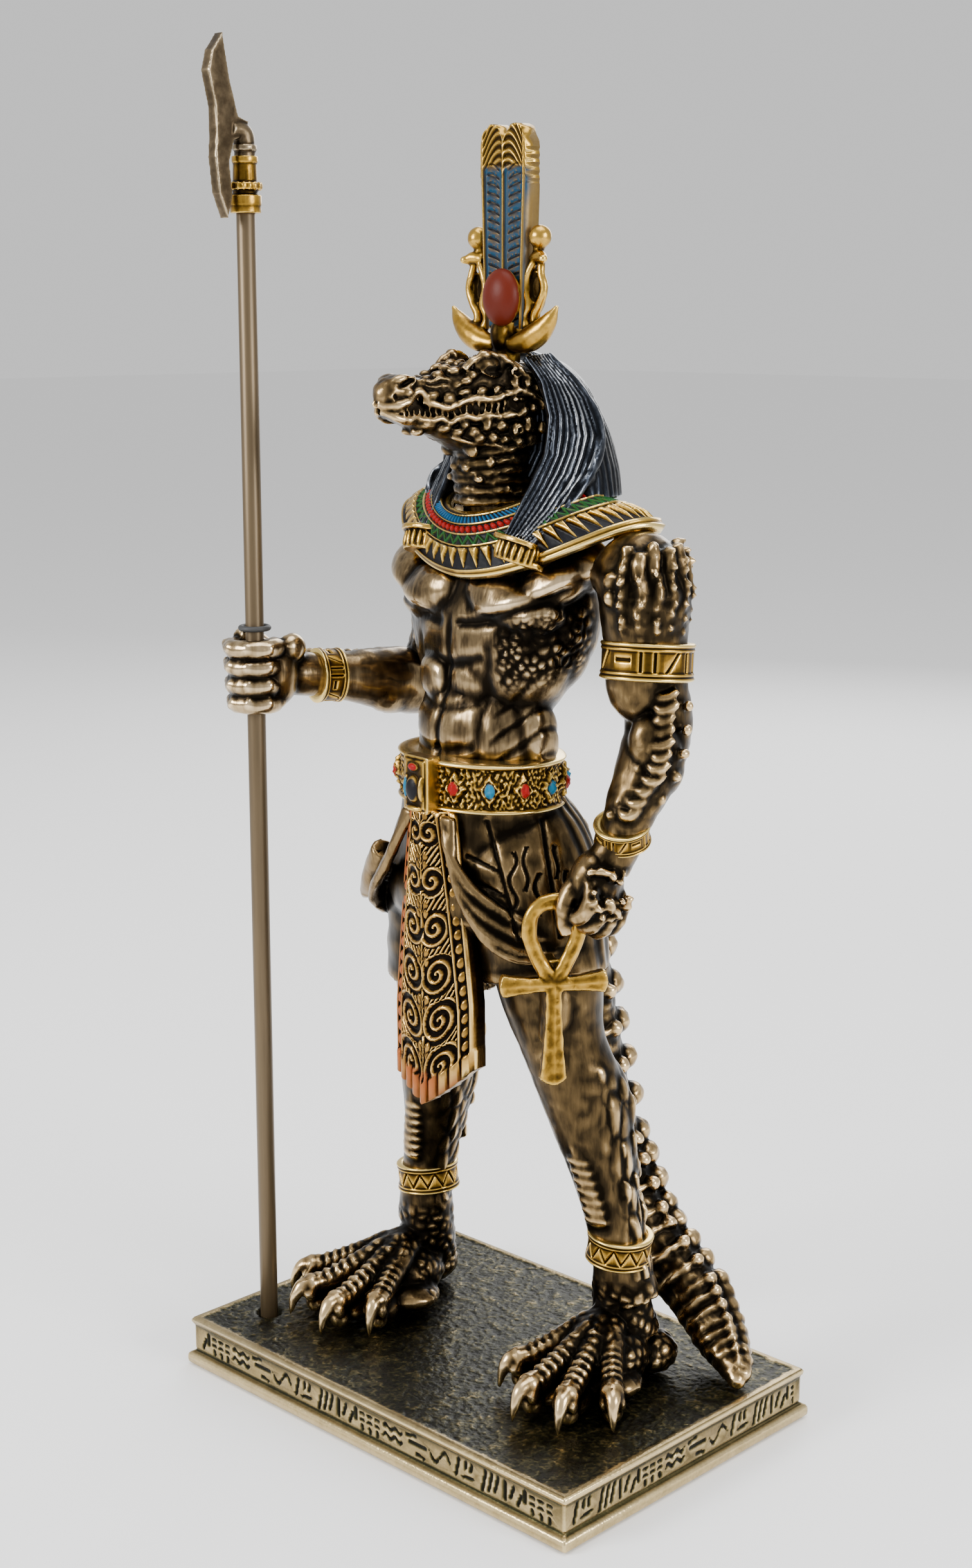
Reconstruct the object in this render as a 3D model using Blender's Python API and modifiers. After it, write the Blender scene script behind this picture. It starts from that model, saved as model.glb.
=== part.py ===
"""A cast crocodile-headed god with an ankh and a staff, on its own plinth.

Metres, +Z up. The origin is the middle of the plinth's underside, and the
figure faces -Y, so its left hand is on the +X side.
"""
import math

import bmesh
import bpy
from mathutils import Euler, Matrix, Vector

MM = 0.001

# Plinth
PLINTH_WIDTH = 0.1120
PLINTH_DEPTH = 0.0746
PLINTH_HEIGHT = 0.0110
PLINTH_CORNER = 0.0005
# Heights up the plinth, each with how far the side stands out past the slab
PLINTH_PROFILE = (
    (0.0000, 0.0009), (0.0004, 0.0013), (0.0023, 0.0013), (0.0028, 0.0008),
    (0.0029, -0.0005), (0.0034, -0.0005), (0.0036, 0.0000), (0.0094, 0.0000),
    (0.0097, 0.0005), (0.0106, 0.0005), (0.0110, 0.0000),
)
STROKE_DEPTH = 0.0005
STROKE_WIDTH = 0.0009
STROKE_PITCH = 0.0056

# Staff
STAFF_X = -0.0463
STAFF_Y = -0.0236
STAFF_RADIUS = 0.00195
STAFF_FIT = 0.0003
STAFF_FOOT = 0.0045
STAFF_TOP = 0.2538
HEAD_FOOT = 0.2503
NECK_TOP = 0.2615
HEAD_THICKNESS = 0.0026
HEAD_SHARE = 0.026
RING_HEIGHT = 0.1657
RING_RADIUS = 0.0029
RING_WIRE = 0.0006

# Figure
VOXEL = 0.00055
FIGURE_SHARE = 0.0142
FOOT_GAP = 0.0003
CHEST_TURN = math.radians(-8)
HEAD_TURN = math.radians(-8)
HIP_TURN = math.radians(-5)
LEG_HALF_SPREAD = 0.0290
ANKH_TURN = math.radians(56)


def fresh_scene():
    """Start from an empty scene with one collection for the model and one for the cutters."""
    for thing in list(bpy.data.objects):
        bpy.data.objects.remove(thing, do_unlink=True)
    shelves = {}
    for name in ("sobek_figure", "cutters"):
        shelves[name] = bpy.data.collections.new(name)
        bpy.context.scene.collection.children.link(shelves[name])
    return shelves


def paint(name, colour, roughness, metallic):
    """A plain coat of one colour."""
    material = bpy.data.materials.new(name)
    material.use_nodes = True
    shader = material.node_tree.nodes["Principled BSDF"]
    shader.inputs["Base Color"].default_value = (*colour, 1.0)
    shader.inputs["Roughness"].default_value = roughness
    shader.inputs["Metallic"].default_value = metallic
    return material


def put(name, form, shelf, material=None):
    """Turn a bmesh into a named object in a collection."""
    mesh = bpy.data.meshes.new(name)
    form.to_mesh(mesh)
    form.free()
    thing = bpy.data.objects.new(name, mesh)
    shelf.objects.link(thing)
    if material:
        mesh.materials.append(material)
    return thing


def cut(thing, cutter):
    """Take the cutter's shape out of a piece."""
    cutter.hide_render = True
    cutter.display_type = "WIRE"
    step = thing.modifiers.new("cut_" + cutter.name, "BOOLEAN")
    step.operation = "DIFFERENCE"
    step.object = cutter


def at(x, y, z):
    """A point given in millimetres."""
    return Vector((x, y, z)) * MM


def press(clay, form):
    """Add a small closed bmesh to the lump."""
    mesh = bpy.data.meshes.new("form")
    form.to_mesh(mesh)
    form.free()
    clay.from_mesh(mesh)
    bpy.data.meshes.remove(mesh)


def ball(clay, centre, radii, turn=(0, 0, 0)):
    """Add an egg-shaped lump: centre and half-sizes in millimetres, turn in radians."""
    form = bmesh.new()
    place = Matrix.LocRotScale(at(*centre), Euler(turn), at(*radii))
    bmesh.ops.create_uvsphere(form, u_segments=24, v_segments=14, radius=1, matrix=place)
    press(clay, form)


def block(clay, centre, size, turn=(0, 0, 0)):
    """Add a box: centre and full sizes in millimetres."""
    form = bmesh.new()
    place = Matrix.LocRotScale(at(*centre), Euler(turn), at(*size))
    bmesh.ops.create_cube(form, size=1, matrix=place)
    press(clay, form)


def drum(clay, centre, low, high, height, turn=(0, 0, 0)):
    """Add an oval drum whose lower and upper half-widths are given in millimetres."""
    form = bmesh.new()
    place = Matrix.LocRotScale(at(*centre), Euler(turn), at(1, 1, height))
    bmesh.ops.create_cone(form, cap_ends=True, segments=40, radius1=1, radius2=1, depth=1)
    for point in form.verts:
        wide = low if point.co.z < 0 else high
        point.co.x *= wide[0]
        point.co.y *= wide[1]
    form.transform(place)
    press(clay, form)


def limb(clay, stations):
    """Add a round limb through stations of (x, y, z, radius) in millimetres."""
    curve = bpy.data.curves.new("limb", "CURVE")
    curve.dimensions = "3D"
    curve.bevel_depth = MM
    curve.bevel_resolution = 4
    curve.resolution_u = 6
    curve.use_fill_caps = True
    spline = curve.splines.new("BEZIER")
    spline.radius_interpolation = "CARDINAL"
    spline.bezier_points.add(len(stations) - 1)
    for point, (x, y, z, radius) in zip(spline.bezier_points, stations):
        point.co = at(x, y, z)
        point.radius = radius
        point.handle_left_type = "AUTO"
        point.handle_right_type = "AUTO"
    guide = bpy.data.objects.new("limb", curve)
    mesh = guide.to_mesh()
    clay.from_mesh(mesh)
    guide.to_mesh_clear()
    bpy.data.objects.remove(guide, do_unlink=True)
    bpy.data.curves.remove(curve)


def sheet(clay, shape, columns, rows, back):
    """Add a thick sheet: shape(across, down), both from 0 to 1, gives a front point; back leads to the rear."""
    form = bmesh.new()
    bmesh.ops.create_grid(form, x_segments=columns, y_segments=rows, size=0.5)
    for point in form.verts:
        point.co = at(*shape(point.co.x + 0.5, 0.5 - point.co.y))
    grown = bmesh.ops.extrude_face_region(form, geom=form.faces[:], use_keep_orig=True)["geom"]
    moved = [item for item in grown if isinstance(item, bmesh.types.BMVert)]
    bmesh.ops.translate(form, verts=moved, vec=at(*back))
    bmesh.ops.recalc_face_normals(form, faces=form.faces[:])
    press(clay, form)


def mixed(first, second, share):
    """The value that lies a share of the way from the first to the second."""
    return first + (second - first) * share


def turned(x, y, angle, centre=(0.0, 0.0)):
    """A plan point turned about a centre."""
    dx, dy = x - centre[0], y - centre[1]
    c, s = math.cos(angle), math.sin(angle)
    return centre[0] + dx * c - dy * s, centre[1] + dx * s + dy * c


def model_leg(clay, side):
    """Thigh, knee, calf and shin; side is +1 for the left leg and -1 for the right."""
    ankle = (side * LEG_HALF_SPREAD / MM, 9.2, 38.4)
    hip = (side * 10.5 - 1.0, 3.0, 119.0)
    bend = {1: (-1.6, -2.2), -1: (0.8, -1.6)}[side]

    def on_leg(height, forward, radius, spread=0.0):
        share = (hip[2] - height) / (hip[2] - ankle[2])
        x = mixed(hip[0], ankle[0], share) + side * spread
        y = mixed(hip[1], ankle[1], share) + forward
        return x, y, height, radius

    knee = bend[1]
    limb(clay, (
        on_leg(120, 0, 13.0), on_leg(104, knee * 0.6, 11.6, bend[0] * 0.5),
        on_leg(92, knee * 0.9, 10.6, bend[0] * 0.6), on_leg(83, knee, 8.9, bend[0] * 0.4),
        on_leg(72, -0.6, 8.8), on_leg(61, 0.6, 7.9), on_leg(50, 0.4, 6.3),
        on_leg(38.4, 0, 5.8), on_leg(28, 0.3, 6.0),
    ))
    # Knee cap, calf and the bulge above the knee
    for height, forward, radii, spread in (
        (83.5, knee - 4.6, (5.6, 4.6, 6.4), 0.0), (69.0, 3.4, (6.4, 5.6, 11.0), 0.6),
        (96.0, knee - 3.0, (7.6, 7.2, 12.0), -0.4),
    ):
        x, y, z, _ = on_leg(height, forward, 0, spread)
        ball(clay, (x, y, z), radii)


def model_foot(clay, side, toes):
    """A broad clawed foot; toes lists the claw tips in plan."""
    ground = PLINTH_HEIGHT / MM + FOOT_GAP / MM
    ankle_x = side * LEG_HALF_SPREAD / MM
    heel = (side * 33.0, 15.5)
    limb(clay, ((ankle_x, 9.2, 38, 5.6), (ankle_x, 9.5, 29, 5.9), (side * 30.5, 10, 20, 7.0)))
    ball(clay, (heel[0], heel[1] - 1.5, ground + 4.6), (6.2, 6.6, 5.2))
    ball(clay, (ankle_x + side * 1.5, 3.0, ground + 6.8), (9.4, 9.5, 7.2))
    ball(clay, (ankle_x + side * 1.0, -0.5, ground + 4.2), (12.4, 8.0, 4.8))
    root = (ankle_x + side * 0.6, 5.5)
    for tip_x, tip_y in toes:
        def along(share, height, radius):
            return mixed(root[0], tip_x, share), mixed(root[1], tip_y, share), ground + height, radius
        limb(clay, (
            along(0.05, 13.5, 4.4), along(0.34, 11.6, 3.9), along(0.58, 8.6, 3.5),
            along(0.76, 6.9, 3.2), along(0.86, 6.2, 2.4), along(0.90, 5.6, 0.8),
        ))
        for share in (0.40, 0.54, 0.68, 0.81):
            x, y, z, _ = along(share, mixed(14.0, 7.6, (share - 0.30) / 0.55), 0)
            ball(clay, (x, y, z), (2.6, 1.5, 1.9), (0, 0, math.atan2(tip_y - root[1], tip_x - root[0]) + math.pi / 2))
        limb(clay, (
            along(0.80, 6.0, 2.0), along(0.90, 6.6, 1.75), along(0.965, 4.4, 1.25), along(1.0, 0.5, 0.45),
        ))
        x, y, z, _ = along(0.66, 3.0, 0)
        ball(clay, (x, y, z - 0.2), (3.0, 3.6, 2.9))


def model_tail(clay):
    """A heavy tail down the back that sweeps round to the left heel, with a crest of scutes."""
    path = (
        (-2.0, 12.0, 128, 9.0), (0.5, 19.0, 110, 9.0), (5.0, 23.0, 82, 7.8), (9.5, 27.0, 53, 7.4),
        (19.0, 28.0, 35, 7.0), (34.0, 28.5, 23.6, 6.1), (42.5, 25.5, 17.6, 4.9),
        (49.5, 22.0, 14.3, 3.0), (53.2, 19.2, 12.6, 1.3),
    )
    limb(clay, path)
    count = 15
    for step in range(count):
        share = step / (count - 1) * (len(path) - 2.3) + 1.0
        low = int(share)
        part = share - low
        first, second = path[low], path[low + 1]
        x, y, z, radius = (mixed(a, b, part) for a, b in zip(first, second))
        run = (at(*second[:3]) - at(*first[:3])).normalized()
        out = (Vector((0.45, 0.75, 0.5)) - run * run.dot(Vector((0.45, 0.75, 0.5)))).normalized()
        size = 0.45 + radius * 0.28
        place = at(x, y, z) + out * radius * MM * 0.86
        for lean in (-1, 1):
            spot = place / MM + run.cross(out) * lean * radius * 0.36
            ball(clay, spot, (size, size, size * 1.35))


def model_torso(clay):
    """Hips, belly, ribs, chest, shoulders and neck of a lean muscular man."""
    ball(clay, (-3.0, 2.5, 121), (18.0, 13.5, 15.0))
    ball(clay, (-2.8, 1.2, 146), (16.4, 11.8, 15.0))
    ball(clay, (-3.0, 4.4, 166), (23.4, 12.6, 20.0), (0, 0, CHEST_TURN))
    ball(clay, (1.0, 8.0, 182), (27.0, 9.5, 8.5), (0, 0, CHEST_TURN))
    for side, x, y in ((1, 9.5, -2.2), (-1, -14.8, -0.6)):
        ball(clay, (x, y, 172.6), (11.4, 7.4, 7.8), (0.1, side * 0.2, CHEST_TURN + side * 0.25))
        ball(clay, (x + side * 6.0, y + 7.0, 163), (8.0, 9.4, 15.0), (0, side * 0.22, 0))
        for step in range(4):
            ball(clay, (x + side * (4.4 - step * 0.5), y + 0.8 + step * 0.3, 163.0 - step * 3.6),
                 (6.0, 4.6, 1.9), (0, side * 0.5, side * 0.5))
    for z, y, wide in ((164.0, -6.7, 4.3), (156.8, -7.8, 4.4), (150.0, -8.4, 4.2), (143.6, -8.6, 3.8)):
        for side in (-1, 1):
            ball(clay, (-3.0 + side * 4.3, y, z), (wide, 3.6, 3.7), (0.1, 0, side * 0.18))
    limb(clay, ((0, 7.5, 176, 12.5), (-0.6, 6, 188, 11.4), (-1.0, 3.5, 198, 9.8), (-1.0, 3.0, 208, 9.6)))
    for step in range(4):
        ball(clay, (-1.2, -0.4 - step * 0.5, 191.0 + step * 3.5), (7.6, 7.2, 1.7), (-0.25, 0, 0))


def model_left_arm(clay):
    """The arm that hangs at the side, with rows of horny scales on the shoulder."""
    limb(clay, (
        (30.0, 7.0, 183.0, 8.0), (35.3, 5.6, 179.5, 9.0), (36.2, 6.0, 170.0, 8.4), (36.8, 7.5, 160.0, 7.0),
        (37.3, 9.0, 151.5, 6.7), (38.0, 5.0, 143.0, 6.4), (36.8, 1.4, 135.0, 5.2), (35.6, 0.2, 129.5, 4.5),
        (33.5, -1.4, 124.0, 4.6),
    ))
    ball(clay, (36.0, 5.4, 178.5), (8.8, 8.8, 11.0))
    ball(clay, (36.0, 2.0, 164.5), (6.4, 6.6, 10.0))
    ball(clay, (37.6, 10.0, 152.0), (5.0, 6.0, 6.4))
    ball(clay, (40.2, 5.2, 146.5), (5.0, 5.8, 8.8), (0.3, -0.1, 0))
    for row in range(6):
        angle = mixed(-2.15, 0.9, row / 5)
        for step in range(6):
            z = mixed(185.5, 169.5, step / 5)
            swell = math.sqrt(max(0.0, 1 - ((z - 178.5) / 13.0) ** 2))
            reach = 2.6 + 5.9 * swell
            ball(clay, (36.0 + reach * math.cos(angle), 5.4 + reach * math.sin(angle), z), (1.5, 1.5, 1.7))
    for step in range(7):
        z = mixed(155.0, 135.5, step / 6)
        ball(clay, (mixed(43.4, 41.6, step / 6), mixed(5.6, -1.0, step / 6), z), (2.3, 2.5, 1.5), (0.5, 0, 0))


def model_left_hand(clay):
    """A loose fist that holds the loop of the ankh."""
    ball(clay, (31.6, -2.6, 120.6), (5.0, 6.2, 7.2), (0.35, 0.2, 0))
    for y, z in ((-8.4, 117.4), (-5.6, 114.8), (-2.4, 113.2), (0.8, 112.8)):
        limb(clay, (
            (34.2, y + 2.4, z + 6.5, 2.3), (34.8, y + 0.4, z + 1.6, 2.2),
            (31.6, y - 0.2, z - 1.4, 2.1), (28.6, y + 0.6, z + 0.6, 1.9), (28.2, y + 1.4, z + 3.2, 1.6),
        ))
    limb(clay, ((30.0, -4.6, 123.0, 2.5), (28.2, -8.6, 119.0, 2.3), (28.6, -9.6, 114.6, 2.1), (29.4, -8.8, 111.8, 1.5)))


def model_right_arm(clay):
    """The arm drawn back, its forearm reaching forward to the staff."""
    limb(clay, (
        (-25.0, 13.0, 183.0, 7.6), (-28.6, 16.0, 178.0, 8.4), (-30.8, 18.0, 168.0, 7.8), (-34.0, 18.8, 158.0, 7.0),
        (-36.4, 16.8, 151.4, 6.9), (-37.6, 9.0, 152.0, 7.2), (-39.8, -0.4, 153.4, 5.9), (-42.2, -7.6, 154.2, 4.7),
        (-43.6, -13.0, 155.0, 4.8), (-45.0, -18.0, 155.6, 4.6),
    ))
    ball(clay, (-28.6, 15.6, 177.5), (8.0, 8.0, 10.0))
    ball(clay, (-37.8, 8.6, 150.6), (6.0, 9.0, 6.0), (0.05, 0, 0.2))


def model_fist(clay):
    """Four fingers and a thumb closed round the staff."""
    sx, sy = STAFF_X / MM, STAFF_Y / MM
    ball(clay, (sx + 2.2, sy + 3.4, 156.0), (4.8, 5.4, 7.6))
    ball(clay, (sx + 0.4, sy + 0.6, 156.2), (4.6, 4.6, 7.6))
    ball(clay, (sx + 4.6, sy + 6.2, 161.2), (2.6, 3.4, 3.2))
    for step in range(4):
        z = 161.6 - step * 3.9
        reach = 4.9 - 0.22 * step
        stations = []
        for turn in range(6):
            angle = math.radians(mixed(35, -190, turn / 5))
            stations.append((sx + reach * math.cos(angle), sy + reach * math.sin(angle), z, mixed(2.15, 1.9, turn / 5)))
        limb(clay, stations)
    limb(clay, (
        (sx - 2.2, sy + 5.6, 159.5, 2.6), (sx - 5.0, sy + 3.2, 162.6, 2.2), (sx - 4.6, sy - 0.8, 163.6, 1.7),
    ))


def model_ankh(clay):
    """The ankh, hanging from the hand beside the thigh, with the web that joins it to the leg."""
    centre = (27.0, -9.8, 100.2)
    c, s = math.cos(ANKH_TURN), math.sin(ANKH_TURN)

    def on(across, up, out=0.0):
        return centre[0] + across * c + out * s, centre[1] + across * s - out * c, centre[2] + up

    # Flared arms and stem, then the loop
    for reach_across, reach_up, root, tip in ((-11.0, 0.2, 1.3, 2.1), (11.0, 0.2, 1.3, 2.1), (0.0, -20.8, 1.5, 2.7)):
        def flared(across, down):
            half = mixed(root, tip, down ** 1.6) * (across - 0.5) * 2
            if reach_across:
                return on(reach_across * down, reach_up * down + half, 1.3)
            return on(half, reach_up * down, 1.3)
        sheet(clay, flared, 2, 5, (-2.6 * s, 2.6 * c, 0))
    loop = []
    for step in range(9):
        angle = math.radians(mixed(-90, 270, step / 8))
        loop.append((*on(5.0 * math.cos(angle), 9.6 + 8.6 * math.sin(angle)), 1.4))
    limb(clay, loop)
    # Web of the casting behind the stem and the loop
    sheet_low, sheet_high = -14.0, 5.0
    x, y, z = on(0, (sheet_low + sheet_high) / 2, -4.5)
    block(clay, (x, y, z), (2.0, 9.0, sheet_high - sheet_low), (0, 0, ANKH_TURN))


def model_kilt(clay):
    """Cloth wrapped round the hips, with a draped sash that falls to both sides of the buckle."""
    drum(clay, (-3.2, 1.2, 121.5), (22.6, 17.0), (19.4, 14.6), 24.0, (0, 0, HIP_TURN))
    ball(clay, (-3.4, 1.6, 113.0), (23.4, 17.8, 14.0), (0, 0, HIP_TURN))
    limb(clay, ((5.6, 2.2, 122, 15.0), (10.2, 0.6, 110, 14.4), (12.6, 0.4, 100.5, 13.2), (13.4, 0.2, 97.0, 12.8)))
    limb(clay, ((-10.6, 3.4, 122, 15.0), (-13.6, 3.2, 110, 14.2), (-15.4, 3.0, 100, 13.2), (-16.4, 3.0, 90.5, 12.6)))
    for step in range(5):
        drop = step * 1.0
        limb(clay, (
            (1.2 + drop * 0.5, -15.0, 131.0, 1.3), (5.0 + drop * 0.6, -16.2, 123.0 - drop * 1.9, 1.7),
            (13.0 + drop, -13.6, 114.5 - drop * 2.2, 1.9), (20.6 + drop * 0.5, -7.0, 110.5 - drop * 1.6, 1.8),
            (24.4, 1.0, 109.5 - drop * 1.2, 1.5),
        ))
        limb(clay, (
            (-7.6 - drop * 0.4, -15.0, 131.0, 1.3), (-12.0 - drop * 0.8, -15.4, 124.0 - drop * 1.4, 1.7),
            (-20.0 - drop * 0.9, -11.6, 116.0 - drop * 1.6, 1.9), (-28.0 + drop * 0.2, -5.0, 109.0 - drop * 1.1, 1.8),
        ))
    limb(clay, ((-24.0, -8.0, 119.0, 2.6), (-31.0, -4.6, 111.0, 2.6), (-35.4, -2.2, 106.5, 1.8), (-37.2, -1.6, 105.0, 0.8)))


def model_belt(clay):
    """A broad belt of hammered metal with a buckle and diamond bosses."""
    centre = (-2.8, 0.2, 137.2)
    half = (19.0, 14.8)
    drum(clay, centre, (half[0] + 0.4, half[1] + 0.4), half, 9.6, (0, 0, HIP_TURN))
    for edge in (-1, 1):
        drum(clay, (centre[0], centre[1], centre[2] + edge * 4.2), (half[0] + 0.9, half[1] + 0.9),
             (half[0] + 0.9, half[1] + 0.9), 1.3, (0, 0, HIP_TURN))
    block(clay, (-4.2, -15.6, 137.4), (7.6, 3.6, 11.4), (0, 0, HIP_TURN))
    for step in range(9):
        angle = math.radians(-66 + step * 24.0)
        x, y = turned(half[0] * math.cos(angle), half[1] * math.sin(angle), HIP_TURN)
        facing = math.atan2(half[0] * math.sin(angle), half[1] * math.cos(angle)) + HIP_TURN
        ball(clay, (centre[0] + x, centre[1] + y, centre[2]), (2.1, 2.1, 3.2), (0, 0, facing))


def model_apron(clay):
    """The long stiff front piece that hangs from the buckle and widens to a pointed foot."""
    top, bottom = 132.0, 69.8

    def outline(across, down):
        half = mixed(6.0, 11.2, min(1.0, down * 1.35) ** 0.8)
        middle = mixed(-2.8, -2.2, down)
        foot = mixed(74.5, bottom, 1 - abs(across - 0.5) * 2) + across * 4.5 * abs(across - 0.5) * 2
        x = middle + (across - 0.5) * 2 * half
        y = -17.2 + 3.4 * abs(across - 0.5) ** 2 * 4
        return x, y, mixed(top, foot, down)

    sheet(clay, outline, 8, 14, (0, 3.2, 0))
    for side in (0.0, 1.0):
        for step in range(11):
            x, y, z = outline(side, 0.10 + step * 0.085)
            ball(clay, (x, y + 1.0, z), (1.5, 1.7, 2.1))
    for across in (0.18, 0.34, 0.5, 0.66, 0.82):
        x, y, z = outline(across, 0.97)
        ball(clay, (x, y, z), (1.5, 1.3, 3.0))


def model_bands(clay):
    """Arm, wrist and ankle bands."""
    for centre, radii, height, turn in (
        ((36.6, 6.2, 164.4), (9.0, 9.0), 7.6, (-0.10, -0.04, 0)),
        ((35.9, 0.4, 130.6), (5.7, 5.7), 4.4, (0.34, 0.25, 0)),
        ((-42.0, -7.0, 154.0), (5.5, 5.5), 4.4, (1.52, 0, 0.32)),
        ((28.9, 9.1, 39.6), (6.7, 6.7), 6.4, (0, 0.1, 0)),
        ((-28.5, 9.1, 39.6), (6.7, 6.7), 6.4, (0, -0.1, 0)),
    ):
        drum(clay, centre, radii, radii, height, turn)
        lift = Euler(turn).to_matrix() @ Vector((0, 0, height / 2 - 0.5))
        for edge in (-1, 1):
            spot = Vector(centre) + lift * edge
            wide = (radii[0] + 0.6, radii[1] + 0.6)
            drum(clay, spot, wide, wide, 1.0, turn)


def model_collar(clay):
    """A broad jewelled collar that lies over the shoulders and dips on the breast."""
    rings = ((12.0, 0.0), (19.0, 0.25), (26.0, 0.55), (33.0, 0.82), (36.0, 0.95))
    for inner, outer in zip(rings, rings[1:]):
        form = bmesh.new()
        bmesh.ops.create_cone(form, cap_ends=True, segments=48, radius1=outer[0], radius2=inner[0], depth=1)
        for point in form.verts:
            upper = point.co.z > 0
            radius, share = inner if upper else outer
            front = max(0.0, -point.co.y / radius)
            back = max(0.0, point.co.y / radius)
            depth = mixed(1.0, 0.46, share)
            x = point.co.x
            y = point.co.y * depth + 0.24 * max(0.0, -x)
            z = 197.0 - 5.4 * share - front ** 1.5 * 11.5 * share - back * 3.0 * share
            point.co = at(x + mixed(-1.0, 1.0, share), y + mixed(5.0, 8.2, share), z - (0 if upper else 2.4))
        press(clay, form)


def model_wig(clay):
    """A long wig of thick locks, swept back from the brow, with two falls in front of the shoulders."""
    ball(clay, (-0.6, 9.0, 208.5), (14.4, 13.4, 14.6), (0.15, 0, 0))
    drum(clay, (0.6, 12.4, 199.5), (25.0, 15.5), (15.8, 13.0), 21.0, (0.10, 0, CHEST_TURN))
    for side, brow, middle, foot in (
        (1, 11.5, (15.0, 1.0, 198.5), (15.0, -9.6, 185.6)), (-1, -9.6, (-10.0, 3.4, 198.5), (-13.6, -5.0, 185.6)),
    ):
        for lock in range(3):
            out = side * lock * 2.2
            limb(clay, (
                (side * 9.5 - 1, 4.0 + lock, 216.0 - lock, 2.6), (brow + out * 0.7, 4.4 + lock, 208.0, 3.0),
                (middle[0] + out, middle[1] + lock * 0.5, middle[2], 3.2),
                (foot[0] + out - side * 2.4, foot[1] + 2.4, foot[2] + 4.5, 3.0),
                (foot[0] + out - side * 2.4, foot[1] + 0.4, foot[2] - 0.5, 2.6),
            ))
        block(clay, (foot[0], foot[1] + 1.2, foot[2] - 1.0), (9.6, 6.2, 5.0), (-0.35, side * 0.1, CHEST_TURN))
    for lock in range(11):
        share = lock / 10
        angle = mixed(-0.25, math.pi + 0.25, share)
        c, s = math.cos(angle), math.sin(angle)
        stations = []
        for reach_x, reach_y, z, radius in (
            (4.0, 3.5, 222.4, 1.4), (11.2, 9.8, 219.0, 1.9), (16.4, 13.6, 211.5, 2.2),
            (21.0, 15.8, 201.5, 2.4), (24.4, 16.4, 191.0, 2.3),
        ):
            x, y = turned(reach_x * c, reach_y * s, CHEST_TURN * (222 - z) / 30)
            stations.append((x - 0.2, y + mixed(7.0, 10.8, (222 - z) / 32), z, radius))
        limb(clay, stations)


def model_head(clay):
    """A crocodile's head: long toothed snout, knobbed nose, brow ridges and scaly cheeks."""
    pivot = (-0.5, 3.0)

    def on(side, ahead, height):
        x, y = turned(side, -ahead, HEAD_TURN)
        return pivot[0] + x, pivot[1] + y, height

    def piece(side, ahead, height, radii, tilt=0.0):
        ball(clay, on(side, ahead, height), radii, (tilt, 0, HEAD_TURN))

    piece(0, 0, 214.0, (9.6, 9.8, 9.0))
    # Upper jaw, lower jaw and the dark line of the mouth between them
    for offset in (-1, 0, 1):
        limb(clay, (
            (*on(offset * 4.6, 2, 216.2), 4.6), (*on(offset * 3.6, 10, 216.0), 3.6), (*on(offset * 2.6, 18, 215.2), 2.7),
            (*on(offset * 2.0, 23.6, 214.9), 2.3), (*on(offset * 1.7, 27.4, 214.5), 2.2), (*on(offset * 1.0, 29.4, 214.2), 1.4),
        ))
        limb(clay, (
            (*on(offset * 5.2, -2, 208.0), 4.2), (*on(offset * 4.2, 6, 207.4), 3.5), (*on(offset * 3.0, 14, 208.4), 2.6),
            (*on(offset * 1.8, 21, 209.9), 1.9), (*on(offset * 1.1, 26.6, 211.2), 1.4),
        ))
    piece(0, 16, 212.4, (2.6, 12.0, 2.2), -0.10)
    piece(0, 25.6, 216.6, (3.1, 3.5, 2.4), 0.1)
    for side in (-1, 1):
        piece(side * 1.7, 26.2, 217.9, (1.4, 1.9, 1.2))
        piece(side * 5.2, 7.6, 221.4, (2.0, 3.2, 1.9), 0.15)
        piece(side * 6.2, 6.6, 218.6, (2.6, 3.4, 2.2))
        piece(side * 8.0, -2.0, 210.5, (3.6, 6.2, 5.4))
        piece(side * 4.0, 17.5, 214.4, (1.6, 3.2, 2.0))
        piece(side * 2.8, 4.6, 206.0, (3.4, 7.0, 3.6), -0.3)
        for row in range(2):
            for step in range(5):
                piece(side * (9.4 - row * 0.9 - step * 0.55), -4 + step * 3.6, 208.6 - row * 3.0 + step * 0.3,
                      (1.3, 1.5, 1.2))
        for step in range(7):
            piece(side * (7.2 - step * 0.75), 4 + step * 3.6, 212.4 + 0.1 * step, (0.7, 0.7, 1.7))
    for step in range(5):
        for side in (-1, 1):
            piece(side * 1.8, 9 + step * 3.2, 219.4 - step * 0.45, (1.1, 1.3, 0.9))


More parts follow.
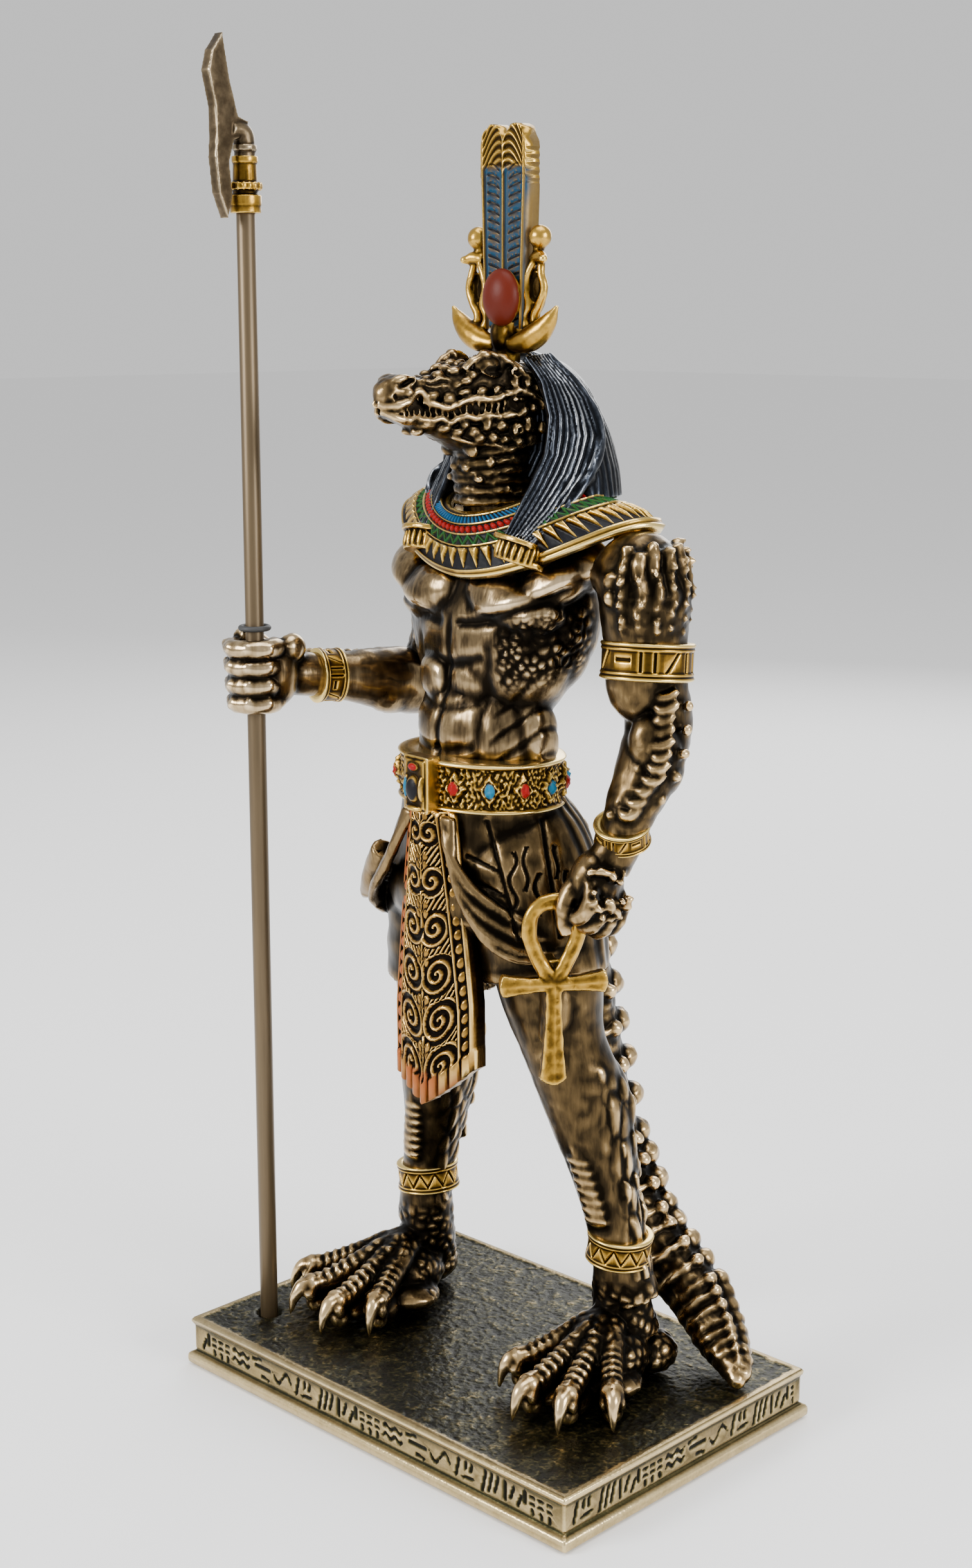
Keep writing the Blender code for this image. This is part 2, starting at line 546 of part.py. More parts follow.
def model_crown(clay):
    """Two tall plumes with a sun disc, between ram's horns and two cobras that carry suns."""
    middle, front, back = 0.6, 3.0, 6.9
    low, high = 227.5, 267.0

    def plume(across, down):
        half = mixed(5.1, 6.1, min(1.0, (1 - down) * 1.3))
        bulge = abs(math.sin(across * 2 * math.pi)) ** 0.6
        top = high - 3.2 + 3.0 * bulge
        return middle + (across - 0.5) * 2 * half, front, mixed(top, low, down)

    sheet(clay, plume, 16, 4, (0, back - front, 0))
    for rib in (-5.4, 0.0, 5.4):
        limb(clay, ((middle + rib, front + 0.1, 228, 0.55), (middle + rib * 1.06, front + 0.1, 246, 0.5),
                    (middle + rib * 1.12, front + 0.1, 263, 0.45)))
    ball(clay, (middle + 1.6, front - 1.8, 233.6), (4.2, 3.0, 5.4))
    limb(clay, ((-0.6, 4.2, 217, 3.6), (0.4, 4.2, 223, 2.8), (0.8, 4.4, 229, 3.0)))
    horns = []
    for step in range(9):
        reach = mixed(-1.0, 1.0, step / 8)
        horns.append((middle + 0.2 + 13.6 * reach, 3.6 + 0.8 * abs(reach), 225.4 + 6.2 * abs(reach) ** 2.2,
                      mixed(3.0, 0.7, abs(reach) ** 1.6)))
    limb(clay, horns)
    for side in (-1, 1):
        x = middle - 0.4 + side * 7.6
        limb(clay, (
            (x - side * 1.6, 5, 228, 2.0), (x + side * 1.2, 5, 232, 1.9), (x + side * 0.9, 5, 237, 2.5),
            (x + side * 0.3, 5, 240.6, 2.1), (x + side * 1.0, 4.6, 242.6, 1.5),
        ))
        ball(clay, (x + side * 1.0, 5, 245.2), (2.35, 2.35, 2.35))
        block(clay, (x - side * 1.4, 5, 235.0), (2.6, 2.6, 13.0))


def make_figure(shelf, cutters, material):
    """The figure is one casting: every form is pressed into one lump, then faceted."""
    clay = bmesh.new()
    for side, toes in (
        (1, ((17.3, -15.1), (29.2, -23.7), (39.4, -21.3), (46.7, -12.8))),
        (-1, ((-49.5, -14.1), (-40.4, -22.4), (-28.0, -24.5), (-19.9, -17.6))),
    ):
        model_leg(clay, side)
        model_foot(clay, side, toes)
    for model in (
        model_tail, model_torso, model_kilt, model_belt, model_apron, model_left_arm, model_left_hand,
        model_right_arm, model_fist, model_bands, model_ankh, model_collar, model_wig, model_head, model_crown,
    ):
        model(clay)
    figure = put("figure", clay, shelf, material)
    press = figure.modifiers.new("one_lump", "REMESH")
    press.mode = "VOXEL"
    press.voxel_size = VOXEL
    soften = figure.modifiers.new("soften", "SMOOTH")
    soften.iterations = 2
    thin = figure.modifiers.new("facet", "DECIMATE")
    thin.ratio = FIGURE_SHARE
    thin.use_collapse_triangulate = True
    bore = bmesh.new()
    bmesh.ops.create_cone(
        bore, cap_ends=True, segments=24, radius1=STAFF_RADIUS + STAFF_FIT, radius2=STAFF_RADIUS + STAFF_FIT,
        depth=0.030, matrix=Matrix.Translation((STAFF_X, STAFF_Y, 0.1562)))
    cut(figure, put("fist_bore", bore, cutters))
    sole = bmesh.new()
    bmesh.ops.create_cube(sole, size=0.2, matrix=Matrix.Translation((0, 0, PLINTH_HEIGHT + FOOT_GAP - 0.1)))
    cut(figure, put("sole_plane", sole, cutters))
    return figure


def make_plinth(shelf, cutters, material):
    """A rectangular plinth with a rim, a groove, a lip and a band of strokes on each side."""
    form = bmesh.new()
    made = bmesh.ops.create_grid(form, x_segments=1, y_segments=1, size=0.5)
    for point in made["verts"]:
        point.co.x *= PLINTH_WIDTH + 2 * PLINTH_PROFILE[0][1]
        point.co.y *= PLINTH_DEPTH + 2 * PLINTH_PROFILE[0][1]
    ring = list(form.faces)
    inner = []
    for height, overhang in PLINTH_PROFILE[1:]:
        grown = bmesh.ops.extrude_face_region(form, geom=ring, use_keep_orig=True)["geom"]
        for point in (item for item in grown if isinstance(item, bmesh.types.BMVert)):
            point.co.x = math.copysign(PLINTH_WIDTH / 2 + overhang, point.co.x)
            point.co.y = math.copysign(PLINTH_DEPTH / 2 + overhang, point.co.y)
            point.co.z = height
        ring = [item for item in grown if isinstance(item, bmesh.types.BMFace)]
        inner.extend(ring)
    inner = [face for face in inner if face not in ring]
    bmesh.ops.delete(form, geom=inner, context="FACES_ONLY")
    bmesh.ops.recalc_face_normals(form, faces=form.faces[:])
    plinth = put("plinth", form, shelf, material)
    strokes = bmesh.new()
    band_low, band_high = PLINTH_PROFILE[6][0], PLINTH_PROFILE[7][0]
    middle = (band_low + band_high) / 2
    reach = (band_high - band_low) * 0.62
    leans = (0.0, 0.5, -0.35, 1.2, 0.0, -0.6)
    for length, across, out in ((PLINTH_WIDTH, 0, PLINTH_DEPTH / 2), (PLINTH_DEPTH, 1, PLINTH_WIDTH / 2)):
        count = int((length - 0.006) / STROKE_PITCH)
        for facing in (-1, 1):
            for step in range(count):
                along = (step - (count - 1) / 2) * STROKE_PITCH
                lean = leans[(step * 5 + across * 2 + (facing > 0)) % len(leans)]
                place = Matrix.Rotation(across * math.pi / 2, 4, "Z")
                place = place @ Matrix.Translation((along, facing * out, middle)) @ Matrix.Rotation(lean, 4, "Y")
                place = place @ Matrix.Diagonal((STROKE_WIDTH, STROKE_DEPTH * 2, reach, 1))
                bmesh.ops.create_cube(strokes, size=1, matrix=place)
    cut(plinth, put("stroke_cuts", strokes, cutters))
    hole = bmesh.new()
    deep = 0.020
    bmesh.ops.create_cone(
        hole, cap_ends=True, segments=24, radius1=STAFF_RADIUS + STAFF_FIT, radius2=STAFF_RADIUS + STAFF_FIT,
        depth=deep, matrix=Matrix.Translation((STAFF_X, STAFF_Y, STAFF_FOOT - STAFF_FIT + deep / 2)))
    cut(plinth, put("staff_hole", hole, cutters))
    return plinth


def make_staff(shelf, cutters, wood, bronze):
    """A plain rod, and a cast head with a gold collar and a forward-curved forked blade."""
    rod = bmesh.new()
    length = STAFF_TOP - STAFF_FOOT
    bmesh.ops.create_cone(
        rod, cap_ends=True, segments=24, radius1=STAFF_RADIUS, radius2=STAFF_RADIUS, depth=length,
        matrix=Matrix.Translation((STAFF_X, STAFF_Y, STAFF_FOOT + length / 2)))
    put("staff_shaft", rod, shelf, wood)
    clay = bmesh.new()
    sx, sy = STAFF_X / MM, STAFF_Y / MM
    foot, neck = HEAD_FOOT / MM, NECK_TOP / MM
    drum(clay, (sx, sy, foot + 5.5), (2.75, 2.75), (2.35, 2.35), 11.0)
    for height, radius, tall in ((0.9, 3.15, 0.9), (2.6, 3.25, 0.95), (5.3, 3.3, 0.7), (10.6, 2.65, 0.6)):
        drum(clay, (sx, sy, foot + height), (radius, radius), (radius, radius), tall * 2)
    limb(clay, ((sx, sy, neck - 2, 2.2), (sx, sy, neck + 1.5, 2.3), (sx, sy - 0.8, neck + 4.2, 2.2), (sx, sy - 3.6, neck + 5.0, 1.9)))
    outline = (
        (-29.6, 284.8), (-32.2, 281.4), (-33.3, 277.5), (-31.8, 271.0), (-31.6, 266.0), (-32.0, 261.0),
        (-31.2, 254.0), (-29.2, 249.2), (-27.8, 253.6), (-28.6, 260.0), (-27.2, 264.4), (-24.6, 265.2),
        (-23.4, 268.2), (-26.0, 269.0), (-28.0, 276.0),
    )
    blade = bpy.data.curves.new("blade", "CURVE")
    blade.dimensions = "2D"
    blade.fill_mode = "BOTH"
    blade.extrude = HEAD_THICKNESS / 2
    spline = blade.splines.new("POLY")
    spline.points.add(len(outline) - 1)
    for point, (y, z) in zip(spline.points, outline):
        point.co = (y * MM, z * MM, 0, 1)
    spline.use_cyclic_u = True
    guide = bpy.data.objects.new("blade", blade)
    bpy.context.scene.collection.objects.link(guide)
    bpy.context.view_layer.update()
    mesh = bpy.data.meshes.new_from_object(guide.evaluated_get(bpy.context.evaluated_depsgraph_get()))
    upright = Matrix(((0, 0, 1, STAFF_X), (1, 0, 0, 0), (0, 1, 0, 0), (0, 0, 0, 1)))
    mesh.transform(upright)
    clay.from_mesh(mesh)
    bmesh.ops.remove_doubles(clay, verts=clay.verts[:], dist=0.00001)
    bpy.data.objects.remove(guide, do_unlink=True)
    head = put("staff_head", clay, shelf, bronze)
    press = head.modifiers.new("one_lump", "REMESH")
    press.mode = "VOXEL"
    press.voxel_size = 0.0003
    thin = head.modifiers.new("facet", "DECIMATE")
    thin.ratio = HEAD_SHARE
    thin.use_collapse_triangulate = True
    socket = bmesh.new()
    deep = STAFF_TOP + STAFF_FIT - HEAD_FOOT
    bmesh.ops.create_cone(
        socket, cap_ends=True, segments=24, radius1=STAFF_RADIUS + STAFF_FIT, radius2=STAFF_RADIUS + STAFF_FIT,
        depth=2 * deep, matrix=Matrix.Translation((STAFF_X, STAFF_Y, HEAD_FOOT)))
    cut(head, put("head_socket", socket, cutters))


def make_ring(shelf, rubber):
    """A rubber ring on the staff, resting on the fist."""
    profile = bmesh.new()
    bmesh.ops.create_circle(
        profile, segments=8, radius=RING_WIRE,
        matrix=Matrix.Translation((RING_RADIUS, 0, 0)) @ Matrix.Rotation(math.pi / 2, 4, "X"))
    ring = put("grip_ring", profile, shelf, rubber)
    ring.location = (STAFF_X, STAFF_Y, RING_HEIGHT)
    sweep = ring.modifiers.new("sweep", "SCREW")
    sweep.steps = 18
    sweep.render_steps = 18
    sweep.use_merge_vertices = True
    sweep.merge_threshold = 0.00001


shelves = fresh_scene()
model_shelf, cutter_shelf = shelves["sobek_figure"], shelves["cutters"]
bronze_coat = paint("dark_bronze", (0.17, 0.125, 0.075), 0.34, 1.0)
stone_coat = paint("plinth_bronze", (0.14, 0.12, 0.07), 0.45, 1.0)
shaft_coat = paint("brown_satin", (0.20, 0.14, 0.09), 0.42, 0.9)
gold_coat = paint("old_gold", (0.45, 0.31, 0.10), 0.35, 1.0)
rubber_coat = paint("black_rubber", (0.02, 0.02, 0.02), 0.7, 0.0)
make_plinth(model_shelf, cutter_shelf, stone_coat)
make_figure(model_shelf, cutter_shelf, bronze_coat)
make_staff(model_shelf, cutter_shelf, shaft_coat, gold_coat)
make_ring(model_shelf, rubber_coat)
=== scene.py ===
"""The looks of a cast crocodile-headed god with an ankh and a staff, on its own plinth."""
import math

import bmesh
import bpy
import numpy as np
from mathutils import Euler, Matrix, Vector, noise


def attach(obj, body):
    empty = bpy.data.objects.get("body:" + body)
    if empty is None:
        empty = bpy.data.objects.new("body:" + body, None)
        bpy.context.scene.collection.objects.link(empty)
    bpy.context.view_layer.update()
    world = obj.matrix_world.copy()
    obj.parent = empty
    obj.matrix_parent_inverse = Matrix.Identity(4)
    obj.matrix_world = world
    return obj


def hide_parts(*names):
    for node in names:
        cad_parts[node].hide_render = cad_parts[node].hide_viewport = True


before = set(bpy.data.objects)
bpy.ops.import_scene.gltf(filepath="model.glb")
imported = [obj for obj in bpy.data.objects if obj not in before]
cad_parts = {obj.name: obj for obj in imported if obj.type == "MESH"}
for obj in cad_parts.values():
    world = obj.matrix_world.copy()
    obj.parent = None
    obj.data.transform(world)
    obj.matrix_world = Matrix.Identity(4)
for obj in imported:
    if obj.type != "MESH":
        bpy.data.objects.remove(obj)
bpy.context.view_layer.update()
MM = 0.001

# Camera, floor and lights
# The camera stands where the photograph was taken from, a little above the crown.
# A pale floor and four soft panels light the figure the way a small studio does.
CAMERA_PLACE = (0.317266, -0.326006, 0.231995)
CAMERA_TILT = math.radians(90 - 11.995)
CAMERA_TURN = math.radians(44.337)
CAMERA_LENS = 51.69
camera_data = bpy.data.cameras.new("camera")
camera_data.lens = CAMERA_LENS
camera_data.sensor_width = 36.0
camera_data.clip_start = 0.01
camera = bpy.data.objects.new("camera", camera_data)
camera.location = CAMERA_PLACE
camera.rotation_euler = (CAMERA_TILT, 0, CAMERA_TURN)
bpy.context.scene.collection.objects.link(camera)
bpy.context.scene.camera = camera


def panel(name, place, target, size, power):
    """A square soft light that faces a target."""
    light = bpy.data.lights.new(name, "AREA")
    light.shape = "SQUARE"
    light.size = size
    light.energy = power
    lamp = bpy.data.objects.new(name, light)
    lamp.location = place
    lamp.rotation_euler = (Vector(target) - Vector(place)).to_track_quat("-Z", "Y").to_euler()
    bpy.context.scene.collection.objects.link(lamp)


panel("key_panel", (-0.30, -0.80, 0.50), (0, 0, 0.15), 0.35, 9.0)
panel("right_panel", (0.85, 0.10, 0.40), (0, 0, 0.14), 0.35, 7.0)
panel("top_panel", (0.1, 0.0, 0.95), (0, 0, 0.15), 0.6, 6.0)
panel("back_panel", (-0.4, 0.75, 0.5), (0, 0, 0.15), 0.5, 4.0)
world = bpy.data.worlds.new("studio")
bpy.context.scene.world = world
world.use_nodes = True
world.node_tree.nodes["Background"].inputs["Color"].default_value = (1.0, 1.0, 1.0, 1.0)
world.node_tree.nodes["Background"].inputs["Strength"].default_value = 0.80
bpy.ops.object.select_all(action="DESELECT")
bpy.ops.mesh.primitive_plane_add(size=12.0, location=(0, 0, -0.0002))
floor = bpy.context.object
floor.name = "floor"
floor_paint = bpy.data.materials.new("floor_paint")
floor_paint.use_nodes = True
floor_paint.node_tree.nodes["Principled BSDF"].inputs["Base Color"].default_value = (0.93, 0.93, 0.93, 1)
floor_paint.node_tree.nodes["Principled BSDF"].inputs["Roughness"].default_value = 0.9
floor.data.materials.append(floor_paint)

# Plinth
# The real plinth is cast in one with brassy sides, a projecting rim and lip, a row of cut
# strokes along each side and a dark granular top, with a blind hole that takes the staff.
PLINTH_WIDTH = 0.1120
PLINTH_DEPTH = 0.0746
PLINTH_HEIGHT = 0.0110
PLINTH_PROFILE = (
    (0.0000, 0.0006), (0.0003, 0.0011), (0.0008, 0.0013), (0.0020, 0.0013), (0.0026, 0.0010),
    (0.0029, 0.0004), (0.0029, -0.0006), (0.0034, -0.0006), (0.0035, -0.0001), (0.0037, 0.0000),
    (0.0093, 0.0000),
    (0.0096, 0.0003), (0.0099, 0.0005), (0.0105, 0.0005), (0.0109, 0.0003), (0.0110, -0.0002),
)
STAFF_X = -0.0463
STAFF_Y = -0.0236
STAFF_RADIUS = 0.00195


def shade(name, stops, roughness, metallic, grain=(), bump=0.12, mottle=0.10):
    """A worn cast surface: colours run from grooves to ridges by the piece's own wear attribute, which on
    some pieces also holds painted highlight and shade.
    """
    material = bpy.data.materials.new(name)
    material.use_nodes = True
    nodes = material.node_tree.nodes
    links = material.node_tree.links
    shader = nodes["Principled BSDF"]
    wear_and_painted_light = nodes.new("ShaderNodeAttribute")
    wear_and_painted_light.attribute_name = "wear_and_painted_light"
    place = nodes.new("ShaderNodeTexCoord")
    broad = nodes.new("ShaderNodeTexNoise")
    broad.inputs["Scale"].default_value = 260.0
    broad.inputs["Detail"].default_value = 6.0
    broad.inputs["Roughness"].default_value = 0.65
    fine = nodes.new("ShaderNodeTexNoise")
    fine.inputs["Scale"].default_value = 1500.0
    fine.inputs["Detail"].default_value = 3.0
    stretch = nodes.new("ShaderNodeMapping")
    stretch.inputs["Scale"].default_value = grain or (1.0, 1.0, 1.0)
    links.new(place.outputs["Object"], stretch.inputs["Vector"])
    links.new(stretch.outputs["Vector"], broad.inputs["Vector"])
    links.new(stretch.outputs["Vector"], fine.inputs["Vector"])
    sway = nodes.new("ShaderNodeMath")
    sway.operation = "MULTIPLY_ADD"
    sway.inputs[1].default_value = mottle * 2
    sway.inputs[2].default_value = -mottle
    links.new(broad.outputs["Fac"], sway.inputs[0])
    speck = nodes.new("ShaderNodeMath")
    speck.operation = "MULTIPLY_ADD"
    speck.inputs[1].default_value = mottle
    speck.inputs[2].default_value = -mottle / 2
    links.new(fine.outputs["Fac"], speck.inputs[0])
    first = nodes.new("ShaderNodeMath")
    first.operation = "ADD"
    links.new(wear_and_painted_light.outputs["Fac"], first.inputs[0])
    links.new(sway.outputs["Value"], first.inputs[1])
    level = nodes.new("ShaderNodeMath")
    level.operation = "ADD"
    links.new(first.outputs["Value"], level.inputs[0])
    links.new(speck.outputs["Value"], level.inputs[1])
    ramp = nodes.new("ShaderNodeValToRGB")
    for spot, (position, colour) in enumerate(stops):
        if spot < 2:
            stop = ramp.color_ramp.elements[spot]
            stop.position = position
        else:
            stop = ramp.color_ramp.elements.new(position)
        stop.color = (*colour, 1.0)
    links.new(level.outputs["Value"], ramp.inputs["Fac"])
    links.new(ramp.outputs["Color"], shader.inputs["Base Color"])
    gloss = nodes.new("ShaderNodeMapRange")
    gloss.inputs["From Min"].default_value = 0.3
    gloss.inputs["From Max"].default_value = 0.75
    gloss.inputs["To Min"].default_value = roughness[0]
    gloss.inputs["To Max"].default_value = roughness[1]
    links.new(level.outputs["Value"], gloss.inputs["Value"])
    links.new(gloss.outputs["Result"], shader.inputs["Roughness"])
    shader.inputs["Metallic"].default_value = metallic
    relief = nodes.new("ShaderNodeBump")
    relief.inputs["Strength"].default_value = bump
    relief.inputs["Distance"].default_value = 0.0002
    links.new(fine.outputs["Fac"], relief.inputs["Height"])
    links.new(relief.outputs["Normal"], shader.inputs["Normal"])
    return material


def grid_of(piece):
    """A piece's points, normals and edges as arrays, in metres."""
    mesh = piece.data
    points = np.empty(len(mesh.vertices) * 3)
    mesh.vertices.foreach_get("co", points)
    normals = np.empty(len(mesh.vertices) * 3)
    mesh.vertices.foreach_get("normal", normals)
    edges = np.empty(len(mesh.edges) * 2, dtype=int)
    mesh.edges.foreach_get("vertices", edges)
    return points.reshape(-1, 3), normals.reshape(-1, 3), edges.reshape(-1, 2)


def age(piece, fine=0.07, broad=0.30, rounds=(5, 26), lift=0.0):
    """Store how far each point stands proud of its surroundings: 0 in a groove, 1 on a ridge."""
    points, normals, edges = grid_of(piece)
    count = len(points)
    degree = np.maximum(np.bincount(edges.ravel(), minlength=count), 1)[:, None]
    relaxed = points.copy()
    proud = []
    for step in range(1, rounds[1] + 1):
        total = np.stack([
            np.bincount(edges[:, 0], weights=relaxed[edges[:, 1], axis], minlength=count)
            + np.bincount(edges[:, 1], weights=relaxed[edges[:, 0], axis], minlength=count)
            for axis in range(3)], axis=1)
        relaxed = 0.5 * relaxed + 0.5 * total / degree
        if step in rounds:
            proud.append(((points - relaxed) * normals).sum(axis=1) / MM)
    value = 0.5 + lift + 0.17 * np.tanh(proud[0] / fine) + 0.33 * np.tanh((proud[1] - 0.25 * broad) / broad)
    layer = piece.data.attributes.new("wear_and_painted_light", "FLOAT", "POINT")
    layer.data.foreach_set("value", np.clip(value, 0, 1))


def wear_and_painted_light_of(piece):
    """The stored wear, with any painted highlight or shade, of each point of a piece."""
    value = np.empty(len(piece.data.vertices))
    piece.data.attributes["wear_and_painted_light"].data.foreach_get("value", value)
    return value


def store_wear_and_painted_light(piece, value):
    """Put reworked wear, with any painted highlight or shade, back on a piece."""
    piece.data.attributes["wear_and_painted_light"].data.foreach_set("value", value)


def dress(piece, material, node="figure", keep=0.40):
    """Thin a finished piece to a share of its faces, then give it its finish and its body, and hide the CAD
    part it stands for.
    """
    if keep < 1:
        thin = piece.modifiers.new("thin", "DECIMATE")
        thin.ratio = keep
        apply_all(piece)
    piece.data.materials.clear()
    piece.data.materials.append(material)
    bpy.ops.object.select_all(action="DESELECT")
    piece.select_set(True)
    bpy.context.view_layer.objects.active = piece
    bpy.ops.object.shade_smooth()
    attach(piece, "root")
    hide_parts(node)


def work_on(piece):
    """Make a piece the one selected and active object."""
    bpy.ops.object.select_all(action="DESELECT")
    piece.select_set(True)
    bpy.context.view_layer.objects.active = piece


def apply_all(piece):
    """Apply every modifier that a piece carries."""
    work_on(piece)
    for step in list(piece.modifiers):
        bpy.ops.object.modifier_apply(modifier=step.name)


bpy.ops.object.select_all(action="DESELECT")
bpy.ops.mesh.primitive_plane_add(size=1.0, location=(0, 0, 0))
plinth = bpy.context.object
plinth.name = "plinth_cast"
form = bmesh.new()
form.from_mesh(plinth.data)
for point in form.verts:
    point.co.x *= PLINTH_WIDTH + 2 * PLINTH_PROFILE[0][1]
    point.co.y *= PLINTH_DEPTH + 2 * PLINTH_PROFILE[0][1]
ring = list(form.faces)
inner = []
for height, overhang in PLINTH_PROFILE[1:]:
    grown = bmesh.ops.extrude_face_region(form, geom=ring, use_keep_orig=True)["geom"]
    for point in (item for item in grown if isinstance(item, bmesh.types.BMVert)):
        point.co.x = math.copysign(PLINTH_WIDTH / 2 + overhang, point.co.x)
        point.co.y = math.copysign(PLINTH_DEPTH / 2 + overhang, point.co.y)
        point.co.z = height
    ring = [item for item in grown if isinstance(item, bmesh.types.BMFace)]
    inner.extend(ring)
bmesh.ops.delete(form, geom=[face for face in inner if face not in ring], context="FACES_ONLY")
bmesh.ops.recalc_face_normals(form, faces=form.faces[:])
form.to_mesh(plinth.data)
form.free()
press = plinth.modifiers.new("press", "REMESH")
press.mode = "VOXEL"
press.voxel_size = 0.00042
apply_all(plinth)
points, normals, edges = grid_of(plinth)


def stroke_depth(along, height, seed):
    """Depth of the cut strokes: each cell of the band holds one of seven plain groups of strokes."""
    pitch = 6.9
    cell = np.floor(along / pitch)
    u = (along / pitch - cell - 0.5) * 4.9
    v = (height - 6.4) / 1.15
    kind = (cell * 5 + seed * 3) % 7
    reach = np.full(len(along), 9.0)

    def line(mark, x0, y0, x1, y1):
        dx, dy = x1 - x0, y1 - y0
        share = np.clip(((u - x0) * dx + (v - y0) * dy) / (dx * dx + dy * dy), 0, 1)
        gap = np.hypot(u - x0 - share * dx, v - y0 - share * dy)
        reach[kind == mark] = np.minimum(reach, gap)[kind == mark]

    def wave(mark, y0, tall, bumps):
        gap = np.abs(v - y0 - tall * np.sin(u * bumps)) * 0.75 + np.clip(np.abs(u) - 1.9, 0, 9)
        reach[kind == mark] = np.minimum(reach, gap)[kind == mark]

    for shift in (-1.4, -0.2, 1.0):
        line(0, shift, -1.7 + shift * 0.3, shift + 0.7, 1.7)
    wave(1, 0.9, 0.35, 3.2)
    wave(1, -0.8, 0.35, 3.2)
    line(2, -1.7, -1.5, -1.1, 1.7)
    line(2, 0.2, 0.4, 0.3, 1.6)
    line(2, 1.2, 0.1, 1.4, 1.6)
    line(2, -0.2, -1.4, 1.8, -1.0)
    for shift in (-1.6, 0.0, 1.6):
        line(3, shift - 0.3, 1.1, shift + 0.3, 1.1)
        line(3, shift - 0.3, -0.2, shift + 0.3, -0.2)
        line(3, shift, -1.2, shift + 0.1, -1.9)
    wave(4, 0.0, 1.2, 1.6)
    line(5, -1.9, -1.7, -1.9, 1.6)
    line(5, -0.9, -1.0, -0.2, 1.3)
    line(5, 0.5, -1.7, 1.2, 0.3)
    line(5, 1.9, -0.6, 1.9, 1.6)
    line(6, -1.8, 1.4, -0.2, 1.7)
    line(6, -1.4, 0.3, 1.9, 0.3)
    line(6, 0.1, -1.5, 1.6, -1.8)
    return np.clip(1.0 - reach / 0.36, 0, 1) ** 0.6


place = points / MM
front = (np.abs(normals[:, 1]) > 0.7) & (np.abs(place[:, 2] - 6.4) < 2.7)
side = (np.abs(normals[:, 0]) > 0.7) & (np.abs(place[:, 2] - 6.4) < 2.7)
cut = np.zeros(len(points))
cut[front] = stroke_depth(place[front, 0] * np.sign(-normals[front, 1]) + 2.0, place[front, 2], 1)
cut[side] = stroke_depth(place[side, 1] * np.sign(normals[side, 0]) + 1.0, place[side, 2], 2)
cut[(np.abs(place[:, 0]) > 53.5) & front] = 0
cut[(np.abs(place[:, 1]) > 35.0) & side] = 0
top = (normals[:, 2] > 0.8) & (place[:, 2] > 10.0)
inside = np.clip((PLINTH_WIDTH / MM / 2 - 1.0 - np.abs(place[:, 0])) / 0.6, 0, 1)
inside *= np.clip((PLINTH_DEPTH / MM / 2 - 1.0 - np.abs(place[:, 1])) / 0.6, 0, 1)
sand = np.array([0.7 * noise.noise(Vector(spot) * 0.5) + noise.noise(Vector(spot) * 1.6) + 0.8
                 * noise.noise(Vector(spot) * 3.1)
                 for spot in place[top]])
moved = points - normals * (cut * 0.55 * MM)[:, None]
moved[top, 2] += (0.15 * sand - 0.20) * inside[top] * MM
hole = np.hypot(place[:, 0] - STAFF_X / MM, place[:, 1] - STAFF_Y / MM)
moved[top & (hole < 2.7), 2] = 0.0086
moved[top & (hole >= 2.7) & (hole < 3.3), 2] = 0.0106
plinth.data.vertices.foreach_set("co", moved.ravel())
plinth.data.update()
age(plinth, fine=0.05, broad=0.20, rounds=(3, 10))
value = wear_and_painted_light_of(plinth)
value = np.where(cut > 0.15, np.minimum(value, 0.5 - 0.5 * cut), value)
value[top] = np.clip(0.22 + 0.30 * sand + 0.45 * (1 - inside[top]), 0, 0.8)
store_wear_and_painted_light(plinth, value)
plinth_brass = shade(
    "plinth_brass",
    ((0.0, (0.004, 0.0035, 0.002)), (0.24, (0.014, 0.0135, 0.0055)), (0.38, (0.056, 0.048, 0.018)),
     (0.54, (0.17, 0.125, 0.052)), (0.72, (0.36, 0.27, 0.125)), (0.92, (0.66, 0.52, 0.27))),
    (0.42, 0.28), 0.95, bump=0.45, mottle=0.14)
dress(plinth, plinth_brass, "plinth", keep=0.38)

# Legs and feet
# Strong bare legs that turn to scaled shins, and broad four-toed feet with ringed toes and long claws.
# They are part of the one casting, dark bronze with the high places rubbed bright.
LEG_HALF_SPREAD = 29.0
clay = []
bpy.ops.object.select_all(action="DESELECT")
bpy.ops.mesh.primitive_uv_sphere_add(segments=20, ring_count=12, radius=1.0, location=(0, 0, 0))
egg = bpy.context.object
small_egg = egg.data.copy()
bpy.data.objects.remove(egg, do_unlink=True)
bpy.ops.mesh.primitive_uv_sphere_add(segments=80, ring_count=48, radius=1.0, location=(0, 0, 0))
egg = bpy.context.object
large_egg = egg.data.copy()
bpy.data.objects.remove(egg, do_unlink=True)
bpy.ops.mesh.primitive_cube_add(size=1.0, location=(0, 0, 0))
cube = bpy.context.object
block_mesh = cube.data.copy()
bpy.data.objects.remove(cube, do_unlink=True)


def mixed(first, second, share):
    """The value that lies a share of the way from the first to the second."""
    return first + (second - first) * share


def turned(x, y, angle):
    """A plan point turned about the origin."""
    c, s = math.cos(angle), math.sin(angle)
    return x * c - y * s, x * s + y * c


def shaped(mesh, centre, size, turn):
    """Add a copy of a primitive to the waiting clay; centre and size in millimetres."""
    copy = mesh.copy()
    turn = turn if isinstance(turn, Matrix) else Euler(turn).to_matrix()
    scale = Matrix.Diagonal(Vector(size) * MM).to_4x4()
    copy.transform(Matrix.Translation(Vector(centre) * MM) @ turn.to_4x4() @ scale)
    clay.append(copy)


def lump(centre, radii, turn=(0, 0, 0)):
    """Press an egg-shaped lump into the clay."""
    shaped(large_egg if max(radii) > 3.5 else small_egg, centre, radii, turn)


def block(centre, size, turn=(0, 0, 0)):
    """Press a box into the clay."""
    shaped(block_mesh, centre, size, turn)


